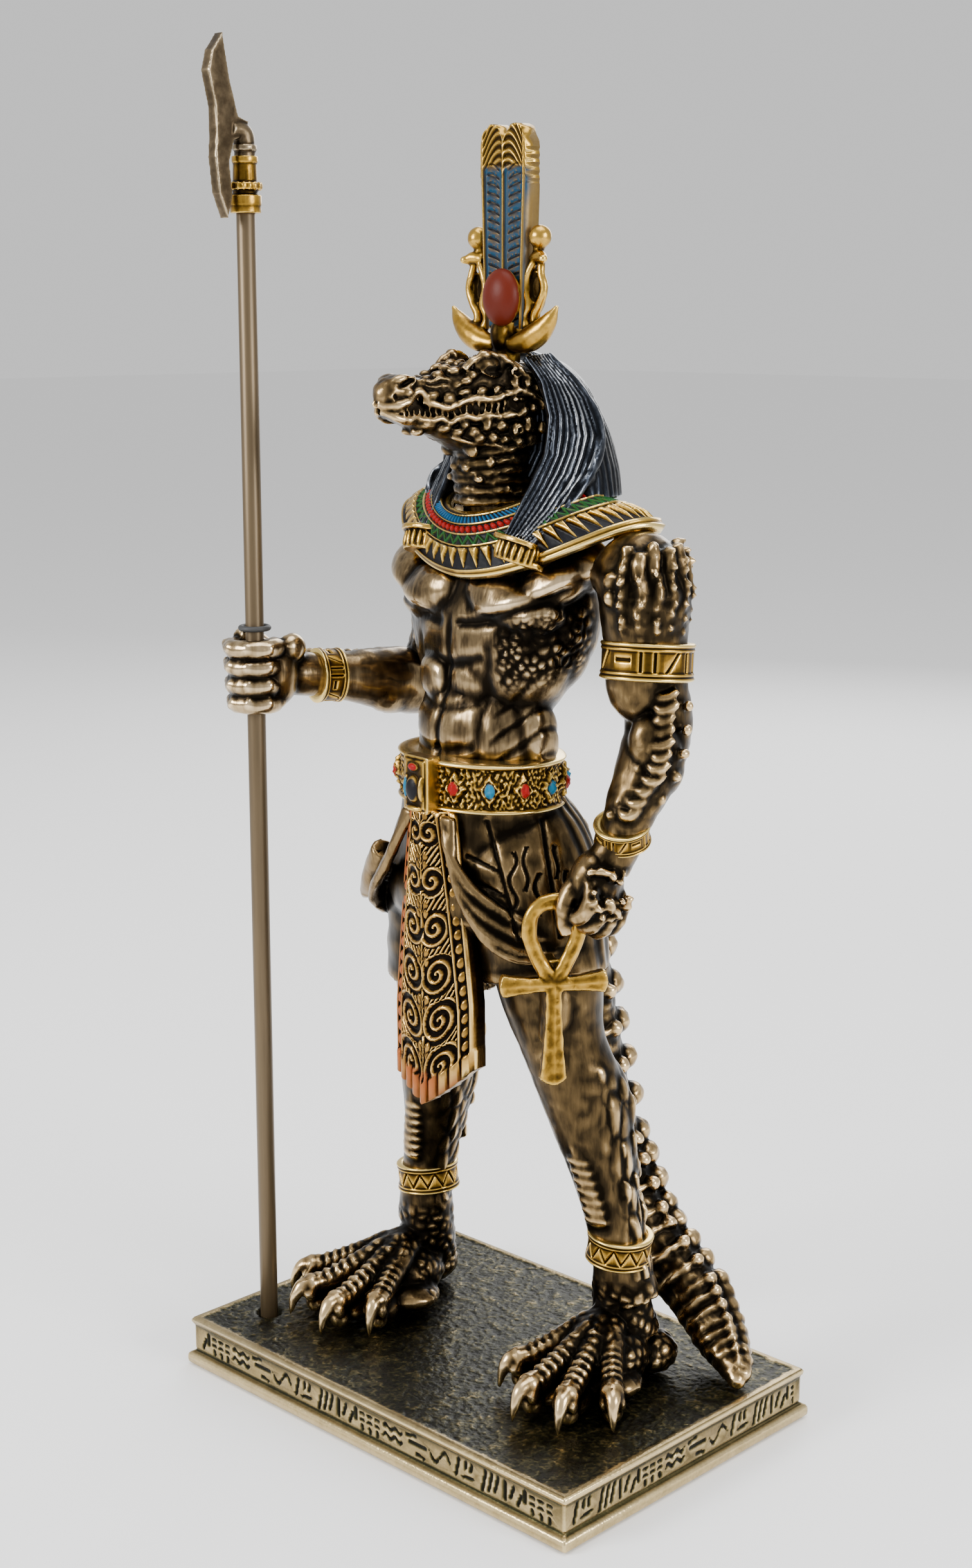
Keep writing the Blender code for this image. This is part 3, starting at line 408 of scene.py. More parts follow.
def drum(centre, low, high, height, turn=(0, 0, 0)):
    """Press an oval drum, given by its lower and upper half-widths, into the clay."""
    form = bmesh.new()
    bmesh.ops.create_cone(form, cap_ends=True, segments=120, radius1=1, radius2=1, depth=1)
    for point in form.verts:
        wide = low if point.co.z < 0 else high
        point.co.x *= wide[0]
        point.co.y *= wide[1]
    form.transform(Matrix.LocRotScale(Vector(centre) * MM, Euler(turn), Vector((1, 1, height)) * MM))
    mesh = bpy.data.meshes.new("drum")
    form.to_mesh(mesh)
    form.free()
    clay.append(mesh)


def rope(stations, closed=False, sides=4):
    """Press a round limb through stations of (x, y, z, radius) in millimetres into the clay."""
    curve = bpy.data.curves.new("rope", "CURVE")
    curve.dimensions = "3D"
    curve.bevel_depth = MM
    curve.bevel_resolution = max(sides, int(max(station[3] for station in stations) * 2.2))
    curve.resolution_u = 10
    curve.use_fill_caps = True
    spline = curve.splines.new("BEZIER")
    spline.radius_interpolation = "CARDINAL"
    spline.use_cyclic_u = closed
    spline.bezier_points.add(len(stations) - 1)
    for point, (x, y, z, radius) in zip(spline.bezier_points, stations):
        point.co = Vector((x, y, z)) * MM
        point.radius = radius
        point.handle_left_type = "AUTO"
        point.handle_right_type = "AUTO"
    guide = bpy.data.objects.new("rope", curve)
    clay.append(guide.to_mesh().copy())
    guide.to_mesh_clear()
    bpy.data.objects.remove(guide, do_unlink=True)
    bpy.data.curves.remove(curve)


def sheet(shape, columns, rows, back):
    """Press a thick sheet into the clay: shape(across, down) gives a front point, back leads to the rear."""
    form = bmesh.new()
    bmesh.ops.create_grid(form, x_segments=columns, y_segments=rows, size=0.5)
    for point in form.verts:
        point.co = Vector(shape(point.co.x + 0.5, 0.5 - point.co.y)) * MM
    grown = bmesh.ops.extrude_face_region(form, geom=form.faces[:], use_keep_orig=True)["geom"]
    moved = [item for item in grown if isinstance(item, bmesh.types.BMVert)]
    bmesh.ops.translate(form, verts=moved, vec=Vector(back) * MM)
    bmesh.ops.recalc_face_normals(form, faces=form.faces[:])
    mesh = bpy.data.meshes.new("sheet")
    form.to_mesh(mesh)
    form.free()
    clay.append(mesh)


def cast(name, grain, soften=3):
    """Press all the waiting clay into one closed skin, its faces about one grain wide in metres."""
    form = bmesh.new()
    for mesh in clay:
        form.from_mesh(mesh)
        bpy.data.meshes.remove(mesh)
    clay.clear()
    mesh = bpy.data.meshes.new(name)
    form.to_mesh(mesh)
    form.free()
    piece = bpy.data.objects.new(name, mesh)
    bpy.context.scene.collection.objects.link(piece)
    press = piece.modifiers.new("press", "REMESH")
    press.mode = "VOXEL"
    press.voxel_size = grain
    ease = piece.modifiers.new("ease", "SMOOTH")
    ease.iterations = soften
    apply_all(piece)
    return piece


def carve(piece, depth):
    """Move each point along its normal by depth(points, normals), both arrays in millimetres."""
    points, normals, _ = grid_of(piece)
    moved = points + normals * (depth(points / MM, normals) * MM)[:, None]
    piece.data.vertices.foreach_set("co", moved.ravel())
    piece.data.update()


def scales(points, mask, size, depth, stretch=(1, 1, 1)):
    """Raised scales about one size across, domed, with soft valleys, where the mask is above zero."""
    rise = np.zeros(len(points))
    for spot in np.nonzero(mask > 0.02)[0]:
        x, y, z = points[spot]
        gaps = noise.voronoi((x / size * stretch[0], y / size * stretch[1], z / size * stretch[2]))[0]
        edge = min(1.0, (gaps[1] - gaps[0]) * 1.9)
        rise[spot] = (0.75 * edge + 0.9 * (0.55 - gaps[0]) - 0.35) * depth * mask[spot]
    return rise


def hammered(points, depth, scale=0.55):
    """A faint unevenness all over."""
    return np.array([noise.noise(Vector(spot) * scale) for spot in points]) * depth


def model_leg(side):
    """Thigh, knee, calf and shin; side is +1 for the left leg and -1 for the right."""
    ankle = (side * LEG_HALF_SPREAD, 9.2, 38.4)
    hip = (side * 10.5 - 1.0, 3.0, 119.0)
    bend = {1: (-1.6, -2.2), -1: (0.8, -1.6)}[side]

    def on_leg(height, forward, radius, spread=0.0):
        share = (hip[2] - height) / (hip[2] - ankle[2])
        return (mixed(hip[0], ankle[0], share) + side * spread, mixed(hip[1], ankle[1], share) + forward,
                height, radius)

    knee = bend[1]
    rope((
        on_leg(114, -1.2, 10.4), on_leg(104, knee * 0.6, 11.4, bend[0] * 0.5),
        on_leg(92, knee * 0.9, 10.6, bend[0] * 0.6),
        on_leg(83, knee, 8.9, bend[0] * 0.4), on_leg(72, -0.6, 8.8), on_leg(61, 0.6, 7.9),
        on_leg(50, 0.4, 6.3),
        on_leg(38.4, 0, 5.8), on_leg(28, 0.3, 6.0),
    ), sides=6)
    for height, forward, radii, spread in (
        (83.5, knee - 4.6, (5.4, 4.4, 6.2), 0.0), (69.0, 3.4, (6.4, 5.6, 11.0), 0.6),
        (96.0, knee - 3.0, (7.6, 7.2, 12.0), -0.4), (92.0, knee - 4.0, (4.2, 4.6, 8.0), 4.4),
        (90.0, knee - 3.4, (4.0, 4.6, 6.6), -4.6), (66.0, 2.0, (4.4, 5.4, 11.0), 4.0),
    ):
        x, y, z, _ = on_leg(height, forward, 0, spread)
        lump((x, y, z), radii)
    # Shin bone, then the row of broad scutes down the front of the shin
    rope([on_leg(height, mixed(-8.0, -5.4, (80 - height) / 34), 1.25, 0.4)
          for height in (80, 72, 64, 56, 47)])
    rope([on_leg(height, mixed(-6.4, -4.0, (80 - height) / 34), 2.6, 0.8) for height in (79, 72, 64, 56, 47)])
    for step in range(7):
        height = 59.0 - step * 2.1
        x, y, z, _ = on_leg(height, mixed(-6.2, -5.2, step / 6), 0, 0.5)
        lump((x, y, z), (3.0, 1.7, 1.35), (-0.55, 0, 0.2 * side))
    # Scattered spines on the outside and back of the calf
    for step in range(22):
        height = 77.0 - step * 1.45
        angle = -0.35 + (step * 2.4) % 2.9
        x, y, z, _ = on_leg(height, 0.8, 0)
        reach = mixed(8.7, 6.1, step / 21)
        lump((x + side * reach * math.cos(angle), y + reach * math.sin(angle), z), (1.0, 1.0, 2.6),
             (0.1, 0, 0))


def model_foot(side, toes):
    """A broad clawed foot; toes lists the claw tips in plan."""
    ground = PLINTH_HEIGHT / MM + 0.1
    ankle_x = side * LEG_HALF_SPREAD
    rope(((ankle_x, 9.2, 38, 5.6), (ankle_x, 9.5, 29, 5.9), (side * 30.5, 10, 20, 7.0)), sides=5)
    lump((side * 33.0, 14.0, ground + 4.4), (6.2, 6.6, 4.6))
    lump((ankle_x + side * 1.5, 3.0, ground + 6.8), (9.2, 9.5, 6.9))
    lump((ankle_x + side * 1.0, -0.5, ground + 3.6), (12.2, 8.0, 3.9))
    root = (ankle_x + side * 0.6, 5.5)
    for tip_x, tip_y in toes:
        heading = math.atan2(tip_y - root[1], tip_x - root[0]) + math.pi / 2

        def along(share, height, radius=0.0):
            return mixed(root[0], tip_x, share), mixed(root[1], tip_y, share), ground + height, radius

        rope((
            along(0.02, 13.6, 3.3), along(0.34, 11.0, 2.8), along(0.58, 8.2, 2.35),
            along(0.76, 6.7, 2.25), along(0.85, 6.3, 2.1), along(0.90, 5.8, 0.9),
        ), sides=5)
        # Rings of horny plates along the top of the toe
        for step in range(12):
            share = mixed(0.10, 0.83, step / 11)
            height = (mixed(mixed(16.2, 13.6, min(1, share / 0.34)), 8.2, max(0.0, (share - 0.30) / 0.53))
                      - 1.5)
            x, y, z, _ = along(share, height)
            lump((x, y, z), (2.5, 0.72, 2.2), (0.25, 0, heading))
            for lean in (-1.5, 0.0, 1.5):
                dx, dy = turned(lean, 0, heading)
                lump((x + dx, y + dy, z + 1.6 - 0.5 * abs(lean)), (0.75, 0.60, 0.60))
        # Knuckle at the claw's root, then the claw
        x, y, z, _ = along(0.83, 7.0)
        lump((x, y, z), (2.6, 2.0, 2.4), (0, 0, heading))
        for lean in (-1.9, 1.9):
            x, y, z, _ = along(0.86, 5.2)
            dx, dy = turned(lean, 0, heading)
            lump((x + dx, y + dy, z), (0.8, 1.5, 1.6), (0.4, 0, heading))
        rope((along(0.80, 6.4, 1.9), along(0.885, 7.0, 1.75), along(0.955, 4.9, 1.3), along(0.99, 2.0, 0.7),
              along(1.0, 0.2, 0.2)), sides=5)
        x, y, z, _ = along(0.62, 3.0)
        lump((x, y, z), (2.6, 4.6, 2.6), (0, 0, heading))
        x, y, z, _ = along(0.80, 2.6)
        lump((x, y, z), (2.2, 2.2, 2.3), (0, 0, heading))


def leg_depth(points, normals):
    """Scales on the shins, calves and feet; the thighs stay smooth and brushed."""
    z = points[:, 2]
    mask = np.clip((78 - z) / 8, 0, 1) * np.clip((normals[:, 1] * 1.3 + 0.9), 0, 1)
    feet = np.clip((34 - z) / 3, 0, 1)
    mask = np.where(z < 34, feet * 0.8, mask)
    toe = (points[:, 1] < 0) & (z < 24)
    mask = np.where(toe, 0.1, mask)
    leaves = scales(points, mask * (z > 34), 3.4, 0.62, (1.25, 1.25, 0.40))
    return leaves + scales(points, mask * (z <= 34), 2.4, 0.38) + hammered(points, 0.10, 0.4)


bronze = shade(
    "dark_bronze",
    ((0.0, (0.0025, 0.002, 0.0014)), (0.40, (0.006, 0.0043, 0.0025)), (0.50, (0.026, 0.0175, 0.0085)),
     (0.60, (0.105, 0.068, 0.029)), (0.74, (0.36, 0.242, 0.110)), (0.94, (0.82, 0.60, 0.32))),
    (0.37, 0.24), 1.0, grain=(1.0, 1.0, 0.16), bump=0.10, mottle=0.09)
for side, name, toes in (
    (1, "left_leg", ((17.3, -15.1), (29.2, -23.7), (39.4, -21.3), (46.7, -12.8))),
    (-1, "right_leg", ((-49.5, -14.1), (-40.4, -22.4), (-28.0, -24.5), (-19.9, -17.6))),
):
    model_leg(side)
    model_foot(side, toes)
    leg = cast(name, 0.00045)
    carve(leg, leg_depth)
    age(leg, fine=0.09, broad=0.38, rounds=(5, 34), lift=0.045)
    points, _, _ = grid_of(leg)
    value = wear_and_painted_light_of(leg)
    low = np.clip((36 - points[:, 2] / MM) / 4, 0, 1) * np.clip((points[:, 1] / MM + 14) / 6, 0, 1)
    store_wear_and_painted_light(leg, value - 0.10 * low)
    dress(leg, bronze)

# Tail
# A heavy crocodile's tail, ringed with thick plates and crested along its outer edge.
TAIL = (
    (-2.0, 12.0, 128, 9.0), (0.5, 19.0, 110, 9.0), (5.0, 23.0, 82, 7.8), (9.5, 27.0, 53, 7.4),
    (19.0, 28.0, 35, 7.0), (34.0, 28.5, 23.6, 6.1), (42.5, 25.5, 17.6, 4.9), (49.5, 22.0, 14.3, 3.0),
    (53.2, 19.2, 12.6, 1.3),
)
rope(TAIL, sides=7)
outward = Vector((0.45, 0.75, 0.5))
rings = 26
for step in range(rings):
    share = step / (rings - 1) * (len(TAIL) - 1.8) + 0.4
    low = int(share)
    part = share - low
    x, y, z, radius = (mixed(a, b, part) for a, b in zip(TAIL[low], TAIL[low + 1]))
    before = Vector(TAIL[low][:3]) - (Vector(TAIL[low - 1][:3]) if low else Vector(TAIL[low][:3]) * 1.02)
    run = (Vector(TAIL[low + 1][:3]) - Vector(TAIL[low][:3])).normalized()
    run = (before.normalized() * (1 - part) + run).normalized()
    out = (outward - run * run.dot(outward)).normalized()
    across = run.cross(out)
    basis = Matrix((across, out, run)).transposed()
    centre = Vector((x, y, z))
    lump(centre, (radius * 1.05, radius * 1.05, 1.9), basis)
    for lean, size in ((-0.75, 0.85), (0.0, 1.35), (0.75, 0.85)):
        spot = centre + (out * math.cos(lean) + across * math.sin(lean)) * radius * 0.98
        grown = size * (0.75 + radius * 0.19)
        lump(spot, (grown * 1.2, grown * 0.95, grown * 0.95), basis)
tail = cast("tail", 0.00045)
carve(tail, lambda points, normals: scales(points, np.full(len(points), 0.5), 2.6, 0.28)
      + hammered(points, 0.25, 0.5))
age(tail, fine=0.14, broad=0.55, rounds=(6, 36), lift=0.085)
dress(tail, bronze, keep=0.36)

# Kilt
# A short wrapped kilt of thin cloth, its draped sash swept from the buckle to both hips.
# It is cast with the figure and keeps the same dark bronze, brighter on the folds.
HIP_TURN = math.radians(-5)
drum((-3.2, 1.2, 121.5), (22.6, 17.0), (19.4, 14.6), 24.0, (0, 0, HIP_TURN))
lump((-3.4, 1.6, 113.0), (23.4, 17.8, 14.0), (0, 0, HIP_TURN))
rope(((2.0, 1.4, 133, 11.0), (5.4, 2.4, 123, 14.9), (10.4, 2.0, 110, 14.7), (12.8, 2.0, 100.5, 13.9),
      (13.6, 1.8, 97.0, 13.5)), sides=12)
rope(((-7.0, 2.6, 133, 11.0), (-10.2, 3.2, 123, 14.8), (-13.6, 3.2, 110, 14.2), (-15.4, 3.0, 100, 13.2),
      (-16.4, 3.0, 90.5, 12.6)), sides=12)
for step in range(6):
    drop = step * 0.86
    thick = 0.8 if step % 2 else 1.1
    rope((
        (1.2 + drop * 0.5, -15.0, 131.0, 1.1), (5.0 + drop * 0.6, -16.2, 123.0 - drop * 1.9, thick),
        (13.0 + drop, -13.6, 114.5 - drop * 2.2, thick * 1.1),
        (20.6 + drop * 0.5, -7.0, 110.5 - drop * 1.6, thick),
        (24.4, 1.0, 109.5 - drop * 1.2, 1.1),
    ), sides=4)
    rope((
        (-7.6 - drop * 0.4, -15.0, 131.0, 1.1), (-12.0 - drop * 0.8, -15.4, 124.0 - drop * 1.4, thick),
        (-20.0 - drop * 0.9, -11.6, 116.0 - drop * 1.6, thick * 1.1),
        (-28.0 + drop * 0.2, -5.0, 109.0 - drop * 1.1, thick),
    ), sides=4)
rope(((-24.0, -8.0, 119.0, 2.6), (-31.0, -4.6, 111.0, 2.6), (-35.4, -2.2, 106.5, 1.8),
      (-37.2, -1.6, 105.0, 0.8)), sides=5)
kilt = cast("kilt", 0.00045, 2)


def kilt_depth(points, normals):
    """Pleats that run down and round the cloth, finer above and stepped at the hem."""
    angle = np.arctan2(points[:, 1] - 1.2, points[:, 0] + 3.2)
    x, y, z = points.T
    low = z < 106
    pleat = np.sin(z * 0.9 + 3.0 * np.sin(angle + 0.6) + x * 0.12)
    back = np.sin(angle * 40 + 0.4 * np.sin(z * 0.3))
    rear = np.clip(y / 6.0, 0, 1)
    side = np.where(low, 0.10 * pleat, 0.0)
    # Two seams over the left hip, and the plain strokes that stand in the panel between them
    run = 0.715 * x + 0.699 * y
    hip = np.clip((0.699 * normals[:, 0] - 0.715 * normals[:, 1] - 0.3) * 4, 0, 1) * (z > 108) * (z < 131)
    seam = (np.exp(-((run - 1.4 - (123 - z) * 0.28) / 0.45) ** 2)
            + np.exp(-((run - 11.6 - (123 - z) * 0.16) / 0.45) ** 2))
    seam += np.exp(-((z - 121.0 + 0.35 * (run - 2)) / 0.35) ** 2) * (run < 2.0) * (run > -5.0)
    seam += np.exp(-((z - 116.6 + 0.35 * (run - 2)) / 0.35) ** 2) * (run < 3.0) * (run > -3.0)
    stroke = np.zeros(len(z))
    for start, foot, top, sway in ((4.4, 113.5, 125.0, 0.8), (7.0, 117.5, 126.0, 0.5),
                                   (9.6, 112.5, 121.0, 0.7),
                                   (13.2, 119.5, 126.0, 0.4), (15.4, 114.0, 121.0, 0.5)):
        stroke += (np.exp(-((run - start - sway * np.sin((z - foot) * 0.8)) / 0.40) ** 2) * (z > foot)
                   * (z < top))
    return (mixed(side, 0.20 * back, rear) - 0.45 * hip * np.clip(seam + stroke, 0, 1)
            + hammered(points, 0.18, 0.28))


carve(kilt, kilt_depth)
age(kilt, fine=0.09, broad=0.38, rounds=(5, 32), lift=0.025)
# The folds stay duller than the polished skin
store_wear_and_painted_light(kilt, np.minimum(wear_and_painted_light_of(kilt), 0.655))
dress(kilt, bronze)

# Torso
# A lean, smooth, polished trunk with six belly muscles and a patch of scales under the left breast.
# Part of the same casting; the wide surfaces are brushed bright and the hollows stay dark.
CHEST_TURN = math.radians(-8)
lump((-3.0, 2.5, 121), (18.0, 13.5, 15.0))
lump((-2.8, 1.2, 146), (16.2, 11.6, 15.5))
lump((-3.0, 4.4, 166), (22.6, 12.4, 20.0), (0, 0, CHEST_TURN))
lump((1.0, 8.0, 182), (27.0, 9.5, 8.5), (0, 0, CHEST_TURN))
for side, x, y in ((1, 9.0, -2.0), (-1, -14.4, -0.8)):
    lump((x, y, 174.2), (11.8, 6.6, 6.2), (0.25, side * 0.22, CHEST_TURN + side * 0.25))
    lump((x + side * 7.0, y + 2.4, 177.6), (9.0, 6.0, 5.0), (0, -side * 0.45, CHEST_TURN + side * 0.3))
    lump((x + side * 5.6, y + 8.0, 167.5), (6.6, 8.0, 13.0), (0, side * 0.30, 0))
    lump((x + side * 2.6, y + 3.6, 148.0), (3.6, 4.8, 10.0), (0.1, -side * 0.12, 0))
for z, y, wide, tall in ((166.6, -4.2, 5.6, 5.8), (157.2, -5.6, 5.7, 5.4), (148.0, -6.1, 5.5, 5.4),
                         (140.0, -5.6, 5.2, 5.6)):
    for side in (-1, 1):
        lump((-5.2 + side * 4.9, y, z), (wide, 2.7, tall), (0.1, 0, CHEST_TURN + side * 0.16))
rope(((0, 7.5, 176, 12.0), (-0.6, 6.6, 188, 10.4), (-1.0, 4.6, 198, 8.2)), sides=10)
torso = cast("torso", 0.00045, 12)


def torso_depth(points, normals):
    """The muscles' edges, the navel, a patch of raised scales on the left ribs and fine tool marks."""
    x, y, z = points.T
    front = np.clip(-normals[:, 1] * 1.8, 0, 1)
    across = x + 5.4 - 0.06 * (z - 150)
    out = np.abs(across)
    depth = -0.52 * np.exp(-(across / 0.95) ** 2) * np.clip((172 - z) / 4, 0, 1) * front
    column = np.clip((10.4 - out) / 1.2, 0, 1)
    for row in (161.8, 152.6, 143.8):
        level = row + 0.22 * out - 0.9
        depth = depth - 0.38 * np.exp(-((z - level) / 1.1) ** 2) * column * front
    depth -= (0.40 * np.exp(-((out - 10.6 - 0.03 * (z - 150)) / 1.3) ** 2) * np.clip((168 - z) / 3, 0, 1)
              * front)
    fold = 169.6 + 0.035 * np.clip(out - 3, 0, 30) ** 1.7
    depth -= 0.7 * np.exp(-((z - fold) / 1.1) ** 2) * np.clip((out - 1.5) / 2, 0, 1) * front
    depth += 0.40 * np.exp(-((z - fold - 2.4) / 1.5) ** 2) * np.clip((out - 5.5) / 4, 0, 1) * front
    rib = (z - 1.1 * out) % 5.6
    depth -= (0.28 * np.exp(-((rib - 2.8) / 0.9) ** 2) * np.clip((out - 12.5) / 2, 0, 1)
              * np.clip((166 - z) / 3, 0, 1))
    depth -= 1.0 * np.exp(-(((x + 6.2) / 0.9) ** 2 + ((z - 143.6) / 0.9) ** 2)) * front
    patch = (np.exp(-(((z - 165.0 - 0.35 * (x - 14)) / 6.6) ** 4)) * np.clip((x - 7.6) / 2.5, 0, 1)
             * np.clip((8.5 - y) / 4, 0, 1))
    depth += scales(points, patch * np.clip((fold - 1.2 - z) / 1.5, 0, 1), 2.0, 0.42)
    return depth + hammered(points, 0.16, 0.30) + hammered(points * (1, 1, 0.25), 0.05, 1.6)


carve(torso, torso_depth)
age(torso, fine=0.13, broad=0.50, rounds=(7, 48), lift=0.05)
points, _, _ = grid_of(torso)
x, y, z = (points / MM).T
value = wear_and_painted_light_of(torso)
# The scaled patch is made darker, and darker still just under the breast's fold, where it is painted shade
# under the breast
patch = np.exp(-(((z - 165.0 - 0.35 * (x - 14)) / 7.2) ** 4)) * np.clip((x - 7.0) / 3.0, 0, 1) * (y < 9)
store_wear_and_painted_light(torso, value - (0.11 + 0.12 * np.exp(-((z - 169.5) / 3.0) ** 2)) * patch)
polished = shade(
    "polished_bronze",
    ((0.0, (0.0025, 0.002, 0.0014)), (0.38, (0.007, 0.005, 0.003)), (0.48, (0.028, 0.019, 0.010)),
     (0.56, (0.085, 0.058, 0.029)), (0.68, (0.28, 0.198, 0.102)), (0.94, (0.82, 0.63, 0.38))),
    (0.33, 0.20), 1.0, grain=(1.0, 1.0, 0.10), bump=0.14, mottle=0.13)
dress(torso, polished, keep=0.38)

# Arms and hands
# The left arm hangs beside the body and its loose fist holds the ankh; the right forearm reaches
# forward to the staff. Rows of spines cover the shoulders, and broad plates run down the forearms.


def aim(direction):
    """A turn that points a form's own Z axis in a direction."""
    return Vector(direction).to_track_quat("Z", "Y").to_matrix()


rope((
    (30.0, 7.0, 183.0, 8.0), (35.3, 5.6, 179.5, 9.0), (36.2, 6.0, 170.0, 8.4), (36.8, 7.5, 160.0, 7.0),
    (37.3, 9.0, 151.5, 6.7), (38.0, 5.0, 143.0, 6.4), (36.8, 1.4, 135.0, 5.2), (35.6, 0.2, 129.5, 4.5),
    (33.5, -1.4, 124.0, 4.6),
), sides=9)
lump((36.0, 5.4, 178.5), (8.8, 8.8, 11.0))
lump((36.2, 3.6, 161.5), (6.2, 6.2, 9.0))
lump((37.6, 10.0, 152.0), (5.0, 6.0, 6.4))
lump((40.2, 5.2, 146.5), (5.0, 5.8, 8.8), (0.3, -0.1, 0))
chance = np.random.default_rng(11)


def spiny_shoulder(centre, angles, top, foot, swell):
    """Uneven ridges down a shoulder, each carrying a row of short pointed spines."""
    for row, angle in enumerate(angles):
        ridge = []
        for step in range(8):
            z = mixed(top, foot, (step + 0.5 * (row % 2)) / 8) + chance.uniform(-0.5, 0.5)
            bulge = math.sqrt(max(0.0, 1 - ((z - centre[2]) / 13.0) ** 2))
            reach = 2.4 + swell * bulge
            lean = angle + chance.uniform(-0.05, 0.05)
            out = Vector((math.cos(lean), math.sin(lean), 0.1 + (z - centre[2]) * 0.05))
            x, y = centre[0] + (reach - 0.6) * out.x, centre[1] + (reach - 0.6) * out.y
            ridge.append((x, y, z, chance.uniform(1.15, 1.55)))
            size = chance.uniform(0.52, 0.88) * (0.6 + 0.5 * bulge)
            lump((x + out.x * 0.7, y + out.y * 0.7, z), (size * 0.85, size * 0.85, size * 2.1),
                 aim(out + Vector((0, 0, -0.6))))
            lump((x + out.x * 0.2, y + out.y * 0.2, z - 0.9), (size * 1.3, size * 1.3, 1.5))
        rope(ridge, sides=5)


spiny_shoulder((36.0, 5.4, 178.5), [mixed(-1.35, 2.2, row / 9) for row in range(10)], 187.5, 169.5, 6.4)
lump((35.6, -3.2, 180.4), (2.2, 1.0, 2.0), (0.2, 0, 0.1))
lump((35.4, -3.6, 177.2), (1.5, 0.9, 1.6), (0.1, 0, 0.1))
# Broad plates down the forearm, and the knobs beside them
ARM_ROW = ((42.7, 3.6, 158.5), (43.0, 2.8, 153.3), (43.8, 1.6, 149.6), (43.7, 1.0, 145.9), (42.6, 0.2, 142.1),
           (41.0, -1.4, 138.9), (39.4, -3.1, 135.6))
for step in range(11):
    height = mixed(158.5, 135.8, step / 10)
    x = float(np.interp(-height, [-spot[2] for spot in ARM_ROW], [spot[0] for spot in ARM_ROW]))
    y = float(np.interp(-height, [-spot[2] for spot in ARM_ROW], [spot[1] for spot in ARM_ROW]))
    wide = mixed(2.9, 2.3, step / 10) + 0.35 * math.sin(step * 2.1)
    # Each plate is a crescent, its tips higher than its middle
    rope([(x + 0.72 * wide * part + 0.2 * math.sin(step * 1.3), y + 0.30 * wide * part + 1.2 * part * part,
           height - 0.5 + 1.5 * part * part, 1.15 - 0.42 * part * part) for part in (-1, -0.5, 0, 0.5, 1)],
           sides=6)
    lump((x - 3.3, y - 0.9, height - 0.6), (0.8 + 0.25 * math.sin(step * 3.3), 0.9, 0.9))
    if step % 2:
        lump((x + 2.4, y + 5.2, height), (1.1, 1.1, 1.1))
# The left fist
lump((31.6, -2.6, 120.6), (5.0, 6.2, 7.2), (0.35, 0.2, 0))
for y, z in ((-8.2, 115.8), (-5.2, 113.4), (-2.2, 112.0), (0.8, 111.8)):
    rope((
        (31.4, y * 0.6 + 0.2, z + 10.0, 0.7), (34.0, y * 0.9 + 0.6, z + 6.0, 1.6),
        (34.6, y + 0.2, z + 1.6, 1.7),
        (31.8, y - 0.2, z - 1.2, 1.8), (28.8, y + 0.6, z + 0.6, 1.7), (28.2, y + 1.4, z + 3.2, 1.5),
    ), sides=6)
    for dx, dy, dz in ((35.4, 0.8, 5.0), (36.0, 0.5, 2.9), (35.6, 0.0, 0.8), (33.8, -0.6, -1.2)):
        lump((dx, y + dy, z + dz), (0.75, 1.0, 0.75))
rope(((31.0, -4.6, 123.0, 2.3), (29.6, -8.2, 119.0, 2.0), (29.4, -9.6, 114.6, 1.8),
      (30.0, -9.4, 110.8, 1.2)), sides=6)
for _ in range(44):
    out = Vector((0.75 + chance.uniform(-0.3, 0.3), chance.uniform(-1.0, 0.5),
                  chance.uniform(-0.9, 0.8))).normalized()
    size = chance.uniform(0.55, 0.90)
    lump((32.9 + 5.6 * out.x, -2.6 + 7.0 * out.y, 120.2 + 8.0 * out.z), (size, size, size * 1.5), aim(out))
left_arm = cast("left_arm", 0.00042, 2)


def arm_depth(points, normals):
    """Small scales round the elbow and the hand; the upper arm stays smooth."""
    z = points[:, 2]
    low = np.clip((154 - z) / 6, 0, 1) * np.clip(normals[:, 0] * 1.5 + 0.6, 0, 1)
    shoulder = np.clip((z - 169) / 4, 0, 1) * np.clip(normals[:, 0] + 0.5, 0, 1)
    return scales(points, low * 0.22 + shoulder * 0.2, 2.4, 0.45) + hammered(points, 0.18, 0.4)


carve(left_arm, arm_depth)
age(left_arm, fine=0.16, broad=0.60, rounds=(6, 34), lift=0.07)
dress(left_arm, bronze)
rope((
    (-25.0, 13.0, 183.0, 7.6), (-28.6, 16.0, 178.0, 8.4), (-30.8, 18.0, 168.0, 7.8),
    (-34.0, 18.8, 158.0, 7.0),
    (-36.4, 16.8, 151.4, 6.9), (-37.6, 9.0, 152.0, 7.2), (-39.8, -0.4, 153.4, 5.9), (-42.2, -7.6, 154.2, 4.7),
    (-43.6, -13.0, 155.0, 4.8), (-45.0, -18.0, 155.6, 4.6),
), sides=9)
lump((-28.6, 15.6, 177.5), (8.0, 8.0, 10.0))
lump((-37.8, 8.6, 150.6), (6.0, 9.0, 6.0), (0.05, 0, 0.2))
spiny_shoulder((-28.8, 15.8, 177.5), [mixed(1.2, 4.9, row / 7) for row in range(8)], 186.5, 168.0, 5.6)
for step in range(9):
    share = step / 8
    x, y, z = mixed(-42.8, -46.4, share), mixed(11.0, -8.0, share), mixed(155.5, 157.6, share)
    lump((x, y, z), (2.4, 1.25, 2.4), (0.2, 0.5, 0.15))
sx, sy = STAFF_X / MM, STAFF_Y / MM
lump((sx + 2.2, sy + 3.4, 156.0), (4.8, 5.4, 7.6))
lump((sx + 0.4, sy + 0.6, 156.2), (4.6, 4.6, 7.6))
lump((sx + 4.6, sy + 6.2, 161.2), (2.6, 3.4, 3.2))
